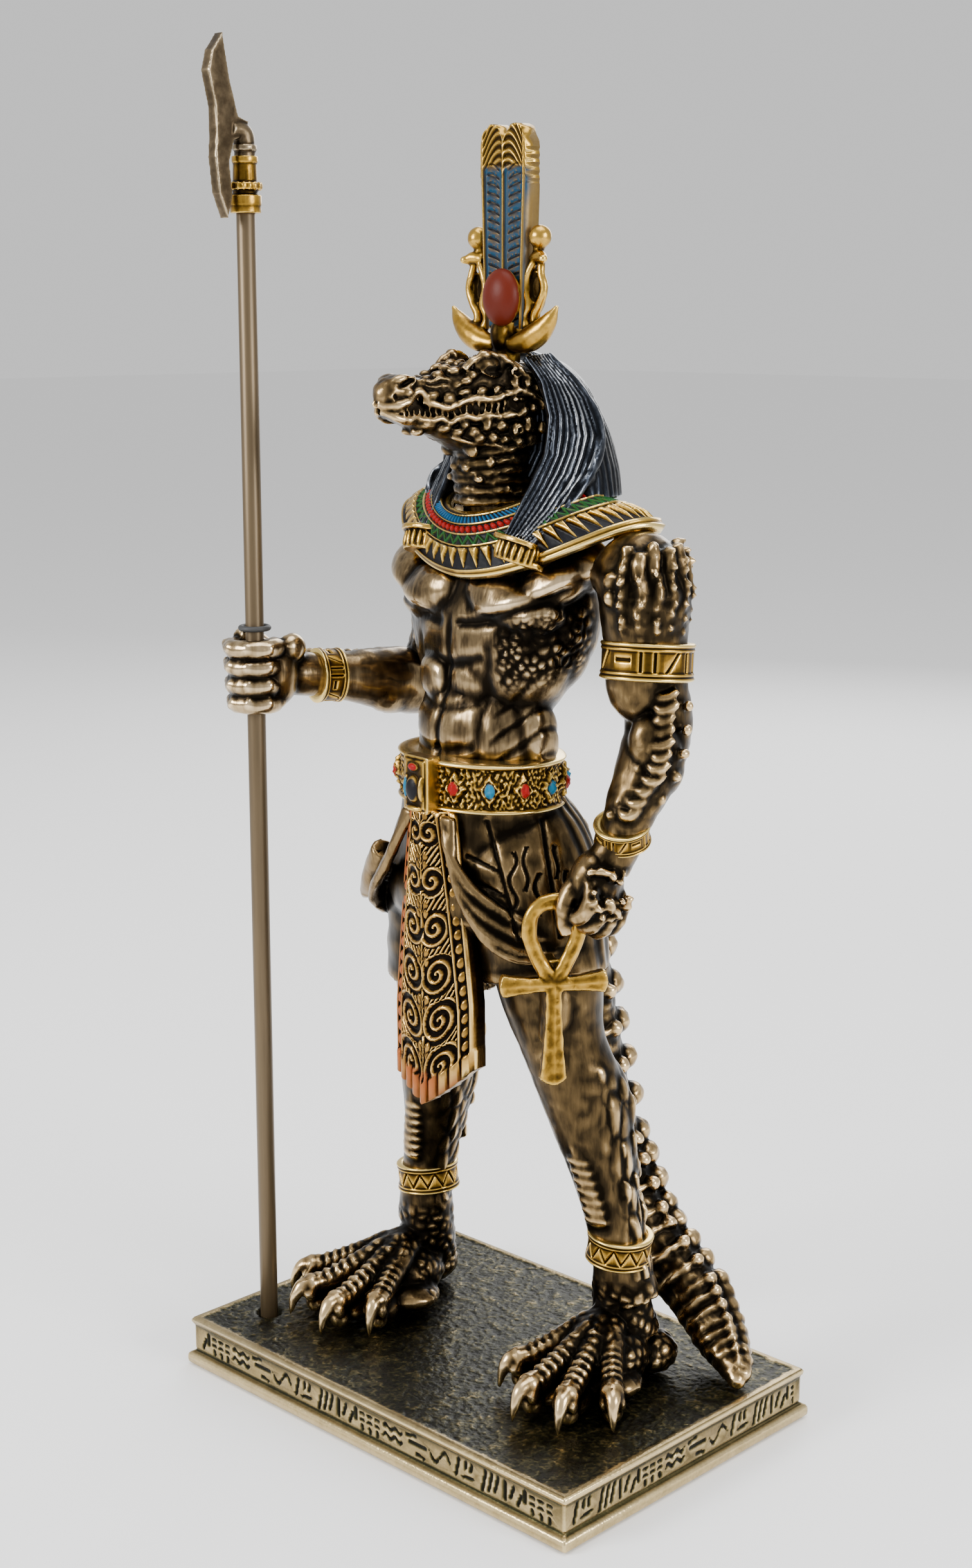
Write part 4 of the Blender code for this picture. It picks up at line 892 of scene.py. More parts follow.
for step in range(4):
    z = 161.6 - step * 3.9
    reach = 4.9 - 0.22 * step
    stations = []
    for turn in range(6):
        angle = math.radians(mixed(35, -190, turn / 5))
        stations.append((sx + reach * math.cos(angle), sy + reach * math.sin(angle), z,
                         mixed(2.15, 1.9, turn / 5)))
        if turn < 5:
            lump((sx + (reach + 1.5) * math.cos(angle), sy + (reach + 1.5) * math.sin(angle), z + 0.3),
                 (0.9, 1.2, 1.3), (0, 0, angle))
    rope(stations, sides=6)
rope(((sx - 2.2, sy + 5.6, 159.5, 2.6), (sx - 5.0, sy + 3.2, 162.6, 2.2), (sx - 4.6, sy - 0.8, 163.6, 1.7)),
     sides=6)
right_arm = cast("right_arm", 0.00042, 2)
carve(right_arm, lambda points, normals: scales(
    points, np.clip(-normals[:, 0] * 1.2 + 0.2, 0, 0.5), 2.2, 0.4) + hammered(points, 0.12, 0.4))
age(right_arm, fine=0.15, broad=0.52, rounds=(6, 34), lift=0.10)
dress(right_arm, polished)

# Arm, wrist and ankle bands
# Cast hoops painted old gold, with two rolled rims each and rows of plain cut marks between them.
BANDS = (
    ("upper_arm_band", (36.6, 6.2, 164.4), (9.0, 9.0), 7.6, (-0.10, -0.04, 0), 11),
    ("left_wrist_band", (35.8, 0.3, 131.0), (5.35, 5.35), 4.6, (0.34, 0.25, 0), 12),
    ("right_wrist_band", (-42.0, -7.4, 154.2), (5.6, 5.6), 5.8, (1.52, 0, -0.29), 12),
    ("left_ankle_band", (28.9, 9.1, 39.6), (6.7, 6.7), 6.4, (0, 0.1, 0), 12),
    ("right_ankle_band", (-28.5, 9.1, 39.6), (6.7, 6.7), 6.4, (0, -0.1, 0), 12),
)


def hoop(name, around, section, shape):
    """A closed hoop: shape(turn, share) places each point, share running up outside and down inside."""
    index = np.arange(around * section)
    turn = (index // section) / around * 2 * math.pi
    share = (index % section) / section
    placed = np.stack(shape(turn, share), axis=1) * MM
    beside = (index // section + 1) % around * section + index % section
    above = index // section * section + (index % section + 1) % section
    across = (index // section + 1) % around * section + (index % section + 1) % section
    mesh = bpy.data.meshes.new(name)
    mesh.from_pydata(placed.tolist(), [], np.stack((index, beside, across, above), axis=1).tolist())
    piece = bpy.data.objects.new(name, mesh)
    bpy.context.scene.collection.objects.link(piece)
    face_out(piece)
    return piece


def face_out(piece):
    """Turn a closed mesh so that its faces point outwards."""
    work_on(piece)
    bpy.ops.object.mode_set(mode="EDIT")
    bpy.ops.mesh.select_all(action="SELECT")
    bpy.ops.mesh.normals_make_consistent(inside=False)
    bpy.ops.object.mode_set(mode="OBJECT")


def up_and_down(share):
    """Height from -1 to 1 and whether a point is on the outside of a hoop."""
    outside = share < 0.62
    height = np.where(outside, share / 0.62 * 2 - 1, 1 - (share - 0.62) / 0.38 * 2)
    return height, outside


gold = shade(
    "old_gold",
    ((0.0, (0.006, 0.004, 0.0015)), (0.32, (0.022, 0.012, 0.003)), (0.44, (0.13, 0.070, 0.010)),
     (0.55, (0.36, 0.20, 0.028)), (0.78, (0.66, 0.41, 0.08)), (1.0, (0.88, 0.64, 0.20))),
    (0.40, 0.24), 1.0, bump=0.12, mottle=0.08)
for name, centre, radii, tall, turn, marks in BANDS:
    def band_shape(around, share):
        height, outside = up_and_down(share)
        out = (0.35 * np.exp(-((np.abs(height) - 0.86) / 0.10) ** 2) + 0.22
               * np.exp(-((np.abs(height) - 0.62) / 0.07) ** 2))
        cell = (around * marks / (2 * math.pi)) % 1 - 0.5
        kind = np.floor(around * marks / (2 * math.pi)).astype(int) % 3
        upright = np.exp(-((np.abs(cell) - 0.28) / 0.055) ** 2)
        slant = np.exp(-((cell - height * 0.5) / 0.06) ** 2)
        bar = np.exp(-((height - 0.1) / 0.10) ** 2) * (np.abs(cell) < 0.34)
        mark = np.where(kind == 0, upright, np.where(kind == 1, slant, bar))
        if "ankle" in name:
            mark = np.exp(-((height - 2.2 * (np.abs(cell) * 2 - 0.5) * 0.42) / 0.10) ** 2)
        inner = np.abs(height) < 0.50
        out = out - 0.5 * mark * inner
        edge = np.clip((1 - np.abs(height)) / 0.05, 0, 1) ** 0.5
        reach = np.where(outside, radii[0] + out * edge - 0.5 * (1 - edge), radii[0] - 1.9)
        spot = np.stack((reach * np.cos(around), reach * np.sin(around), height * tall / 2), axis=1)
        spot = spot @ np.array(Euler(turn).to_matrix()).T
        return (spot[:, 0] + centre[0], spot[:, 1] + centre[1], spot[:, 2] + centre[2])

    band = hoop(name, 260, 56, band_shape)
    age(band, fine=0.02, broad=0.16, rounds=(3, 14))
    dress(band, gold)

# Belt
# A broad girdle of hammered metal, pitted all over, with rolled rims, diamond bosses that hold
# red and turquoise drops, and a tall buckle set with a dark stone.
GARNET = (0.24, 0.002, 0.002)
TURQUOISE = (0.002, 0.13, 0.24)
ONYX = (0.004, 0.004, 0.006)
BELT_CENTRE = (-2.8, 0.2, 137.2)
BELT_HALF = (19.0, 14.8)


def shade_inlaid(name, stops, roughness, bump=0.12, mottle=0.08):
    """Worn metal, with glossy enamel wherever the piece's tint attribute has an alpha."""
    material = shade(name, stops, roughness, 1.0, bump=bump, mottle=mottle)
    nodes = material.node_tree.nodes
    links = material.node_tree.links
    shader = nodes["Principled BSDF"]
    tint = nodes.new("ShaderNodeAttribute")
    tint.attribute_name = "tint"
    metal_colour = shader.inputs["Base Color"].links[0].from_socket
    metal_gloss = shader.inputs["Roughness"].links[0].from_socket
    blend = nodes.new("ShaderNodeMix")
    blend.data_type = "RGBA"
    links.new(tint.outputs["Alpha"], blend.inputs["Factor"])
    links.new(metal_colour, blend.inputs["A"])
    links.new(tint.outputs["Color"], blend.inputs["B"])
    links.new(blend.outputs["Result"], shader.inputs["Base Color"])
    metal = nodes.new("ShaderNodeMath")
    metal.operation = "SUBTRACT"
    metal.inputs[0].default_value = 1.0
    links.new(tint.outputs["Alpha"], metal.inputs[1])
    links.new(metal.outputs["Value"], shader.inputs["Metallic"])
    even = nodes.new("ShaderNodeMix")
    even.data_type = "FLOAT"
    even.inputs["B"].default_value = 0.42
    shader.inputs["Specular IOR Level"].default_value = 0.14
    links.new(tint.outputs["Alpha"], even.inputs["Factor"])
    links.new(metal_gloss, even.inputs["A"])
    links.new(even.outputs["Result"], shader.inputs["Roughness"])
    return material


def inlay(piece, tints):
    """Store enamel on a piece: tints is a list of (mask, colour), each mask from 0 to 1."""
    colour = np.zeros((len(piece.data.vertices), 4))
    for mask, paint in tints:
        mask = np.clip(mask, 0, 1)[:, None]
        colour[:, :3] = colour[:, :3] * (1 - mask) + np.array(paint) * mask
        colour[:, 3:] = np.maximum(colour[:, 3:] * (1 - mask), mask)
    layer = piece.data.attributes.new("tint", "FLOAT_COLOR", "POINT")
    layer.data.foreach_set("color", colour.ravel())


BOSSES = [math.radians(-66 + step * 24.0) for step in range(13)]
belt_around = {}


def belt_shape(around, share):
    """The girdle's oval with its rims, pits and diamond bosses."""
    height, outside = up_and_down(share)
    out = 0.75 * np.exp(-((np.abs(height) - 0.88) / 0.10) ** 2)
    pits = np.array([noise.noise(Vector((a * 26, h * 7, 0.3))) for a, h in zip(around, height)])
    out = out + 0.55 * pits * (np.abs(height) < 0.76)
    for boss in BOSSES:
        gap = (around - boss + math.pi) % (2 * math.pi) - math.pi
        diamond = 1.0 - np.abs(gap) / 0.150 - np.abs(height) / 0.72
        out = out + 1.1 * np.clip(diamond * 3, 0, 1) - 0.5 * np.clip(diamond * 3 - 1.0, 0, 1)
        drop = 1.0 - (gap / 0.062) ** 2 - (height / 0.30) ** 2
        out = out + 1.3 * np.sqrt(np.clip(drop, 0, 1))
    edge = np.clip((1 - np.abs(height)) / 0.06, 0, 1) ** 0.5
    out = np.where(outside, out * edge - 0.6 * (1 - edge), -5.5)
    x = (BELT_HALF[0] + out) * np.cos(around)
    y = (BELT_HALF[1] + out) * np.sin(around)
    c, s = math.cos(HIP_TURN), math.sin(HIP_TURN)
    belt_around["turn"], belt_around["height"], belt_around["outside"] = around, height, outside
    return x * c - y * s + BELT_CENTRE[0], x * s + y * c + BELT_CENTRE[1], height * 5.3 + BELT_CENTRE[2]


belt = hoop("belt", 620, 72, belt_shape)
tints = []
for spot, boss in enumerate(BOSSES):
    gap = (belt_around["turn"] - boss + math.pi) % (2 * math.pi) - math.pi
    drop = 1.0 - (gap / 0.062) ** 2 - (belt_around["height"] / 0.30) ** 2
    tints.append((np.where(belt_around["outside"], drop * 6, 0), (GARNET, TURQUOISE)[spot % 2]))
inlay(belt, tints)
age(belt, fine=0.05, broad=0.30, rounds=(3, 16))
inlaid_gold = shade_inlaid(
    "inlaid_gold",
    ((0.0, (0.006, 0.004, 0.0015)), (0.32, (0.022, 0.012, 0.003)), (0.44, (0.12, 0.068, 0.012)),
     (0.55, (0.34, 0.195, 0.032)), (0.78, (0.64, 0.41, 0.09)), (1.0, (0.88, 0.66, 0.24))),
    (0.40, 0.24))
dress(belt, inlaid_gold)
block((-4.2, -15.6, 137.4), (7.6, 3.6, 11.4), (0, 0, HIP_TURN))
block((-4.2, -17.0, 137.4), (6.0, 1.6, 9.8), (0, 0, HIP_TURN))
lump((-4.3, -17.6, 136.4), (2.2, 1.4, 2.9))
lump((-4.3, -17.7, 141.0), (1.5, 1.0, 0.9))
lump((-6.6, -17.4, 136.6), (0.7, 1.0, 2.6))
lump((-2.0, -17.8, 136.6), (0.7, 1.0, 2.6))
lump((-4.3, -17.6, 132.4), (2.4, 1.0, 0.7))
buckle = cast("buckle", 0.00022, 3)
points, normals, _ = grid_of(buckle)
x, y, z = (points / MM).T
inlay(buckle, [
    (((1 - ((x + 4.3) / 1.7) ** 2 - ((z - 136.4) / 2.4) ** 2) * 5) * (y < -17.6), ONYX),
    (((1 - ((x + 4.3) / 1.3) ** 2 - ((z - 141.0) / 0.8) ** 2) * 5) * (y < -17.6), GARNET),
    (((1 - ((x + 6.6) / 0.6) ** 2 - ((z - 136.6) / 2.2) ** 2) * 5) * (y < -17.4), TURQUOISE),
])
age(buckle, fine=0.04, broad=0.20)
dress(buckle, inlaid_gold)

# Apron
# The long stiff front piece that hangs from the buckle, cast with raised scrolls and beaded edges.
# Its gold paint turns to copper at the foot, and a short fringe of drops hangs from the pointed hem.


def apron_front(across, down):
    """A point on the apron's front face, before its relief."""
    half = mixed(6.0, 11.2, min(1.0, down * 1.35) ** 0.8)
    middle = mixed(-2.8, -2.2, down)
    foot = mixed(74.5, 69.8, 1 - abs(across - 0.5) * 2) + across * 4.5 * abs(across - 0.5) * 2
    return (middle + (across - 0.5) * 2 * half, -17.2 + 3.4 * abs(across - 0.5) ** 2 * 4,
            mixed(132.0, foot, down))


def pressed_sheet(name, columns, rows, front, relief, back):
    """A thin plate shaped from a grid: front places each point, relief raises it towards the viewer."""
    bpy.ops.object.select_all(action="DESELECT")
    bpy.ops.mesh.primitive_grid_add(x_subdivisions=columns, y_subdivisions=rows, size=1)
    piece = bpy.context.object
    piece.name = name
    points, _, _ = grid_of(piece)
    across, down = points[:, 0] + 0.5, 0.5 - points[:, 1]
    placed = np.array([front(a, d) for a, d in zip(across, down)])
    placed[:, 1] -= relief(across, down)
    piece.data.vertices.foreach_set("co", (placed * MM).ravel())
    piece.data.update()
    work_on(piece)
    bpy.ops.object.mode_set(mode="EDIT")
    bpy.ops.mesh.select_all(action="SELECT")
    bpy.ops.mesh.extrude_region_move(TRANSFORM_OT_translate={"value": [side * MM for side in back]})
    bpy.ops.mesh.select_all(action="SELECT")
    bpy.ops.mesh.normals_make_consistent(inside=False)
    bpy.ops.object.mode_set(mode="OBJECT")
    return piece


def apron_marks(across, down):
    """Panels, scrolls and beads of the apron as (height, how far the edge or foot is reached)."""
    half = mixed(6.0, 11.2, np.minimum(1.0, down * 1.35) ** 0.8)
    x = (across - 0.5) * 2 * half
    z = down * 58.0
    rim = half - np.abs(x)
    edge = np.exp(-((rim - 0.45) / 0.40) ** 2) + 0.9 * np.exp(-((rim - 2.75) / 0.30) ** 2)
    bead = np.clip(1 - ((rim - 1.6) / 0.80) ** 2 - ((z % 3.1 - 1.55) / 1.25) ** 2, 0, 1) ** 0.5
    inner = np.clip((rim - 3.0) / 0.3, 0, 1)
    # Mirrored scrolls: paired spirals in each cell, buds between them, and a stem up the middle
    cell = (z % 9.6) - 4.8
    near = np.abs(x)
    spread = np.maximum(half - 3.2, 1.5)
    reach = np.hypot(near - spread * 0.52, cell * 0.95 + 0.6)
    swirl = np.arctan2(cell + 0.6, near - spread * 0.52)
    scroll = (np.clip(1.25 - np.abs((reach - 0.30 * swirl) % 1.9 - 0.95) * 1.9, 0, 1)
              * (reach < spread * 0.56 + 0.4))
    bud = np.clip(1 - ((near - 1.0) / 0.75) ** 2 - ((np.abs(cell) - 4.0) / 1.3) ** 2, 0, 1) ** 0.5
    stem = np.clip(1 - np.abs(x) / 0.55, 0, 1) * (np.abs(cell) > 1.2)
    frond = (np.clip(1.2 - np.abs((near * 1.5 + cell * 1.2) % 1.9 - 0.95) * 1.8, 0, 1)
             * (reach > spread * 0.56 + 0.4))
    relief = inner * np.maximum(np.maximum(scroll, bud), np.maximum(stem, 0.85 * frond))
    hem = np.clip((down - 0.91) / 0.02, 0, 1)
    drops = np.clip(1 - ((across * 9 % 1 - 0.5) / 0.42) ** 2, 0, 1) ** 0.5
    trim = np.clip(1 - (rim - 2.4) / 0.6, 0, 1)
    return mixed(edge + bead + 0.9 * relief, 0.2 + 1.3 * drops, hem), np.maximum(trim * (x < 0), hem)


apron = pressed_sheet(
    "apron", 150, 420, apron_front, lambda across, down: 0.85 * apron_marks(across, down)[0] - 0.2,
    (0, 3.2, 0))
age(apron, fine=0.045, broad=0.20, rounds=(3, 12), lift=0.05)
points, normals, _ = grid_of(apron)
x, _, z = (points / MM).T
down = np.clip((132.0 - z) / 60.0, 0, 1)
half = np.interp(down, (0, 0.2, 0.45, 0.74, 1), (6.0, 7.8, 9.5, 11.2, 11.2))
across = (x + 2.8 - 0.6 * down) / (2 * half) + 0.5
red = np.clip(apron_marks(across, down)[1] + np.clip((down - 0.35) * 1.3, 0, 0.8)
              * np.clip(1.0 - across * 1.6, 0, 1), 0, 1)
value = wear_and_painted_light_of(apron)
value = np.where(normals[:, 1] > -0.3, np.minimum(value, 0.52), value)
store_wear_and_painted_light(apron, value)
paint = np.clip((value - 0.46) / 0.10, 0, 1)
inlay(apron, [(0.85 * red * paint * (normals[:, 1] < -0.1), (0.36, 0.075, 0.018))])
copper = shade_inlaid(
    "copper_and_gold",
    ((0.0, (0.003, 0.002, 0.0015)), (0.42, (0.006, 0.004, 0.0025)), (0.50, (0.060, 0.030, 0.008)),
     (0.60, (0.30, 0.165, 0.036)), (0.80, (0.60, 0.36, 0.095)), (1.0, (0.88, 0.63, 0.24))),
    (0.40, 0.24), mottle=0.07)
dress(apron, copper, keep=0.34)

# Ankh
# The looped cross that hangs from the left fist, a thick flat plate with flared arms and a tall loop.
# It is cast with the figure, joined to the thigh by a web, and painted old gold.
ANKH_TURN = math.radians(56)
ANKH = (27.0, -9.8, 100.2)


def on_ankh(across, up, out=0.0):
    """A point given in the plate's own plane."""
    c, s = math.cos(ANKH_TURN), math.sin(ANKH_TURN)
    return ANKH[0] + across * c + out * s, ANKH[1] + across * s - out * c, ANKH[2] + up


for reach_across, reach_up, root, tip in ((-11.0, 0.2, 1.35, 2.3), (11.0, 0.2, 1.35, 2.3),
    (0.0, -20.8, 1.55, 2.7)):
    def flared(across, down):
        half = mixed(root, tip, down ** 2.2) * (across - 0.5) * 2
        round_end = 1 - 0.06 * ((across - 0.5) * 2) ** 2 * down
        proud = 1.25 - 0.35 * abs(across - 0.5) * 2
        if reach_across:
            return on_ankh(reach_across * down * round_end, reach_up * down + half, proud)
        return on_ankh(half, reach_up * down * round_end, proud)
    sheet(flared, 8, 16, (-2.2 * math.sin(ANKH_TURN), 2.2 * math.cos(ANKH_TURN), 0))
for inset in (-0.7, 0.0, 0.7):
    half = ((0.4, 0.8), (2.2, 3.6), (4.1, 7.6), (5.0, 11.4), (3.9, 15.2))
    loop = [(across + inset * 0.8, up) for across, up in half] + [(0.0, 17.0 + inset)]
    loop += [(-across - inset * 0.8, up) for across, up in reversed(half)]
    rope([(*on_ankh(across, up), 1.05) for across, up in loop], closed=True, sides=6)
x, y, z = on_ankh(0, -4.5, -4.5)
block((x, y, z), (2.0, 9.0, 19.0), (0, 0, ANKH_TURN))
ankh = cast("ankh", 0.00026, 2)
carve(ankh, lambda points, normals: hammered(points, 0.16, 0.5))
age(ankh, fine=0.05, broad=0.34, rounds=(5, 30), lift=0.005)
dress(ankh, gold)

# Collar
# A broad jewelled collar over the shoulders and breast: rows of blue, red and green enamel
# between gold wires, and an outer row of raised gold points on black.
GREEN = (0.004, 0.065, 0.010)
collar_place = {}


def collar_shape(around, share):
    """The collar's drape, from the neck at 0 to the rim at 1, with its rows in relief."""
    outside = share < 0.80
    ring = np.where(outside, share / 0.80, 1 - (share - 0.80) / 0.20)
    front = np.maximum(0, -np.sin(around))
    back = np.maximum(0, np.sin(around))
    far = np.maximum(0, -np.cos(around))
    neck_x, neck_y, neck_z = 11.0 * np.cos(around) - 0.5, 4.0 + 10.6 * np.sin(around), 196.5 - 4.6 * front
    rim_x = 35.8 * np.cos(around) + 0.8
    rim_y = 8.2 + 18.4 * np.sin(around) * np.where(front > 0, 1.0, 0.92) + 5.6 * far
    rim_z = 190.8 - 11.6 * front ** 2.3 - 2.4 * back + 0.9 * np.maximum(0, np.cos(around)) * front
    bow = 1.5 * np.sin(ring * math.pi) * (1 - 0.3 * back)
    x = mixed(neck_x, rim_x, ring)
    y = mixed(neck_y, rim_y, ring) - 0.5 * bow * front
    z = mixed(neck_z, rim_z, ring) + bow
    out = np.stack((0.35 * np.cos(around), -0.75 * front + 0.2 * back, 0.75 - 0.35 * front), axis=1)
    out /= np.linalg.norm(out, axis=1)[:, None]
    relief = np.zeros(len(ring))
    for line in (0.12, 0.30, 0.47, 0.64, 0.94):
        relief = np.maximum(relief, np.exp(-((ring - line) / 0.013) ** 2))
    cell = lambda count: (around * count / (2 * math.pi)) % 1 - 0.5
    dash = np.clip(1 - (cell(110) / 0.34) ** 2, 0, 1) * (np.abs(ring - 0.21) < 0.07)
    bead = np.sqrt(np.clip(1 - (cell(84) / 0.44) ** 2 - ((ring - 0.385) / 0.060) ** 2, 0, 1))
    zigzag = (np.exp(-(((ring - 0.555) / 0.065 - (4 * np.abs(cell(58)) - 1)) / 0.42) ** 2)
              * (np.abs(ring - 0.555) < 0.075))
    point = np.clip(1 - np.abs(cell(60)) * 2.0 - (ring - 0.67) / 0.25, 0, 1) * (ring > 0.67) * (ring < 0.93)
    relief = np.maximum(relief, 0.6 * dash)
    relief = np.maximum(relief, 0.9 * bead)
    relief = np.maximum(relief, 0.6 * zigzag)
    relief = np.maximum(relief, np.clip(point * 3.0, 0, 1.1))
    collar_place.update(dash=dash * outside, bead=bead * outside, zigzag=zigzag * outside, ring=ring,
                        outside=outside)
    collar_place.update(point=point * outside)
    lift = np.where(outside, 0.8 * relief, -2.0)
    return x + out[:, 0] * lift, y + out[:, 1] * lift, z + out[:, 2] * lift


collar = hoop("collar", 1000, 92, collar_shape)
ring = collar_place["ring"]
inlay(collar, [
    ((ring > 0.14) * (ring < 0.93) * (collar_place["point"] < 0.05) * collar_place["outside"] * 1.0, ONYX),
    (collar_place["dash"] * 3, (0.004, 0.085, 0.20)), (collar_place["bead"] * 3, GARNET),
    (collar_place["zigzag"] * 2, GREEN),
])
tint = collar.data.attributes["tint"]
colour = np.empty(len(ring) * 4)
tint.data.foreach_get("color", colour)
colour = colour.reshape(-1, 4)
wire = np.maximum.reduce([np.exp(-((ring - line) / 0.013) ** 2) for line in (0.12, 0.30, 0.47, 0.64)])
colour[:, 3] *= wire < 0.35
tint.data.foreach_set("color", colour.ravel())
age(collar, fine=0.04, broad=0.24, rounds=(3, 14))
dress(collar, inlaid_gold)

# Wig
# A long wig of thick fluted locks, swept back from the brow, its two front falls closed by
# ribbed gold cuffs. Painted blue-black, with silvery wear along the ridges, a silver highlight
# painted on the bulge of each fall and painted shade beside the neck.
lump((-0.6, 13.4, 208.5), (12.6, 10.6, 14.0), (0.15, 0, 0))
drum((0.6, 14.2, 202.2), (19.6, 11.6), (12.6, 7.6), 15.6, (0.05, 0, CHEST_TURN))
drum((0.0, 11.2, 204.4), (13.2, 10.0), (10.6, 8.2), 25.0, (0.05, 0, CHEST_TURN))
FALLS = (
    (((7.7, 1.9, 222.0), (12.1, 2.1, 217.3), (14.8, 1.9, 210.9), (16.0, -0.4, 203.7), (15.7, -4.3, 197.6),
      (13.6, -9.6, 188.0)),
     ((8.8, 7.2, 222.4), (16.9, 9.5, 214.4), (21.0, 9.4, 207.2), (21.8, 5.6, 200.1), (20.6, -0.5, 193.0),
      (18.0, -7.6, 186.6))),
    (((-7.0, 3.4, 222.0), (-10.6, 4.6, 217.0), (-12.2, 4.6, 210.5), (-12.0, 2.6, 203.5),
      (-11.6, -0.8, 197.6), (-12.6, -5.6, 188.0)),
     ((-7.6, 8.0, 222.3), (-15.0, 11.6, 214.4), (-19.4, 12.0, 207.2), (-20.6, 8.4, 200.0),
      (-20.4, 2.4, 193.0), (-17.6, -3.4, 187.0))),
)
for inner, outer in FALLS:
    for lock in range(7):
        share = lock / 6
        rope([
            tuple(mixed(a, b, share) for a, b in zip(first, second)) + (thick,)
            for first, second, thick in zip(inner, outer, (0.9, 1.0, 1.05, 1.0, 0.9, 0.8))
        ], sides=5)
    middle = [tuple(mixed(a, b, 0.5) for a, b in zip(first, second)) for first, second in zip(inner, outer)]
    rope([(x * 0.86, y + 1.6, z - 0.6, 2.6) for x, y, z in middle[1:5]]
         + [(middle[5][0], middle[5][1] + 0.8, middle[5][2], 1.9)], sides=6)
# Locks that spread from behind the left and right falls over the shoulders
for side, top in ((0, FALLS[0][1]), (1, FALLS[1][1])):
    for lock in range(1, 7):
        share = lock / 6
        low = mixed(top[4][0], (20.4, -19.4)[side], share), mixed(top[4][1], (8.0, 10.4)[side], share)
        foot = mixed(top[4][0], (20.0, -19.2)[side], share), mixed(top[4][1] - 2.0, (9.0, 11.0)[side], share)
        rope([(*spot, thick) for spot, thick in zip(top[:4], (0.8, 0.95, 1.0, 1.0))]
             + [(*low, 197.4, 1.0), (*foot, mixed(191.0, 195.0, share), 1.0)], sides=5)
for lock in range(30):
    share = lock / 29
    angle = mixed(-0.1, math.pi + 0.1, share)
    c, s = math.cos(angle), math.sin(angle)
    stations = []
    for reach_x, reach_y, z, radius in (
        (4.0, 3.5, 222.6, 0.7), (11.4, 9.9, 219.2, 0.85), (16.8, 13.9, 211.5, 1.1),
        (20.6, 15.6, 201.5, 1.3), (22.2, 15.2, 194.6, 1.3),
    ):
        x, y = turned(reach_x * c, reach_y * s, CHEST_TURN * (222 - z) / 30)
        stations.append((x - 0.2, y + mixed(7.0, 10.8, (222 - z) / 32), z, radius))
    rope(stations, sides=6)
wig = cast("wig", 0.00031, 3)


def across_fall(points, inner, outer):
    """How far across a front fall each point lies: 0 at its inner edge, 1 at its outer edge."""
    edges = []
    for line in (inner, outer):
        heights = [-spot[2] for spot in line]
        edges.append(np.stack([np.interp(-points[:, 2], heights, [spot[axis] for spot in line])
                               for axis in (0, 1)], axis=1))
    width = edges[1] - edges[0]
    return ((points[:, :2] - edges[0]) * width).sum(axis=1) / (width ** 2).sum(axis=1)


def wig_depth(points, normals):
    """Grooves that part the front falls, and the hair beside the neck, into fine locks."""
    depth = np.zeros(len(points))
    for side, (inner, outer) in zip((1, -1), FALLS):
        share = across_fall(points, inner, outer)
        lock = (share * 8) % 1
        here = ((points[:, 0] * side > 2) * np.clip((share + 1.6) / 0.2, 0, 1)
                * np.clip((1.0 - share) / 0.06, 0, 1))
        depth -= 0.46 * np.exp(-(np.minimum(lock, 1 - lock) / 0.18) ** 2) * here
    return depth + hammered(points * (1, 1, 0.3), 0.12, 0.7)


carve(wig, wig_depth)
age(wig, fine=0.07, broad=0.50, rounds=(4, 26), lift=0.03)
points, _, _ = grid_of(wig)
points = points / MM
value = wear_and_painted_light_of(wig)
# The outward bulge of each fall gets a painted silver highlight; its inner rim and the hair beside the neck
# get painted shade
share = np.where(points[:, 0] > 0, across_fall(points, *FALLS[0]), across_fall(points, *FALLS[1]))
value = (np.minimum(value, 0.70) + 0.10 * np.exp(-((share - 0.62) / 0.24) ** 2) - 0.10
         * np.clip(0.25 - share, 0, 0.5) * 2)
store_wear_and_painted_light(wig, value)
hair = shade(
    "blue_black_hair",
    ((0.0, (0.002, 0.002, 0.003)), (0.45, (0.004, 0.005, 0.007)), (0.56, (0.011, 0.014, 0.020)),
     (0.66, (0.062, 0.070, 0.086)), (0.76, (0.26, 0.275, 0.295)), (1.0, (0.60, 0.61, 0.61))),
    (0.36, 0.25), 0.9, mottle=0.08)
dress(wig, hair)
for side, foot in ((1, (15.6, -9.9, 186.4)), (-1, (-15.0, -5.4, 186.2))):
    drum((foot[0], foot[1] + 1.2, foot[2] - 1.4), (4.9, 3.3), (4.5, 3.1), 4.4,
         (-0.35, side * 0.1, CHEST_TURN))
    for height, grow in ((-3.4, 0.55), (0.9, 0.45)):
        drum((foot[0], foot[1] + 1.2 - height * 0.34, foot[2] + height), (4.9 + grow, 3.3 + grow),
             (4.9 + grow, 3.3 + grow), 1.0, (-0.35, side * 0.1, CHEST_TURN))
    turn = Euler((-0.35, side * 0.1, CHEST_TURN)).to_matrix()
    for rib in range(18):
        angle = rib / 18 * 2 * math.pi
        offset = turn @ Vector((4.75 * math.cos(angle), 3.25 * math.sin(angle), 0))
        lump((foot[0] + offset.x, foot[1] + 1.2 + offset.y, foot[2] - 1.4 + offset.z), (0.55, 0.55, 2.0),
             turn)
    cuff = cast("left_cuff" if side > 0 else "right_cuff", 0.00024, 2)
    age(cuff, fine=0.04, broad=0.22)
    dress(cuff, gold)

# Head
# A crocodile's head, with a long toothed snout, a bulging nose, wavy lips, sharp brow ridges,
# plated jaws and a ringed throat. Dark bronze, the ridges and the lips rubbed to pale gold.
HEAD_TURN = math.radians(-8)
JAW_REACH = (-6, -4, -2, 2, 6, 10, 15, 20, 23.5, 26, 28, 29.6)
JAW_HALF = (9.2, 9.3, 9.1, 7.9, 6.7, 5.5, 4.3, 3.4, 3.1, 3.6, 2.6, 0.4)


def on_head(side, ahead, height):
    """A point given in the head's own directions."""
    x, y = turned(side, -ahead, HEAD_TURN)
    return x - 0.5, y + 3.0, height


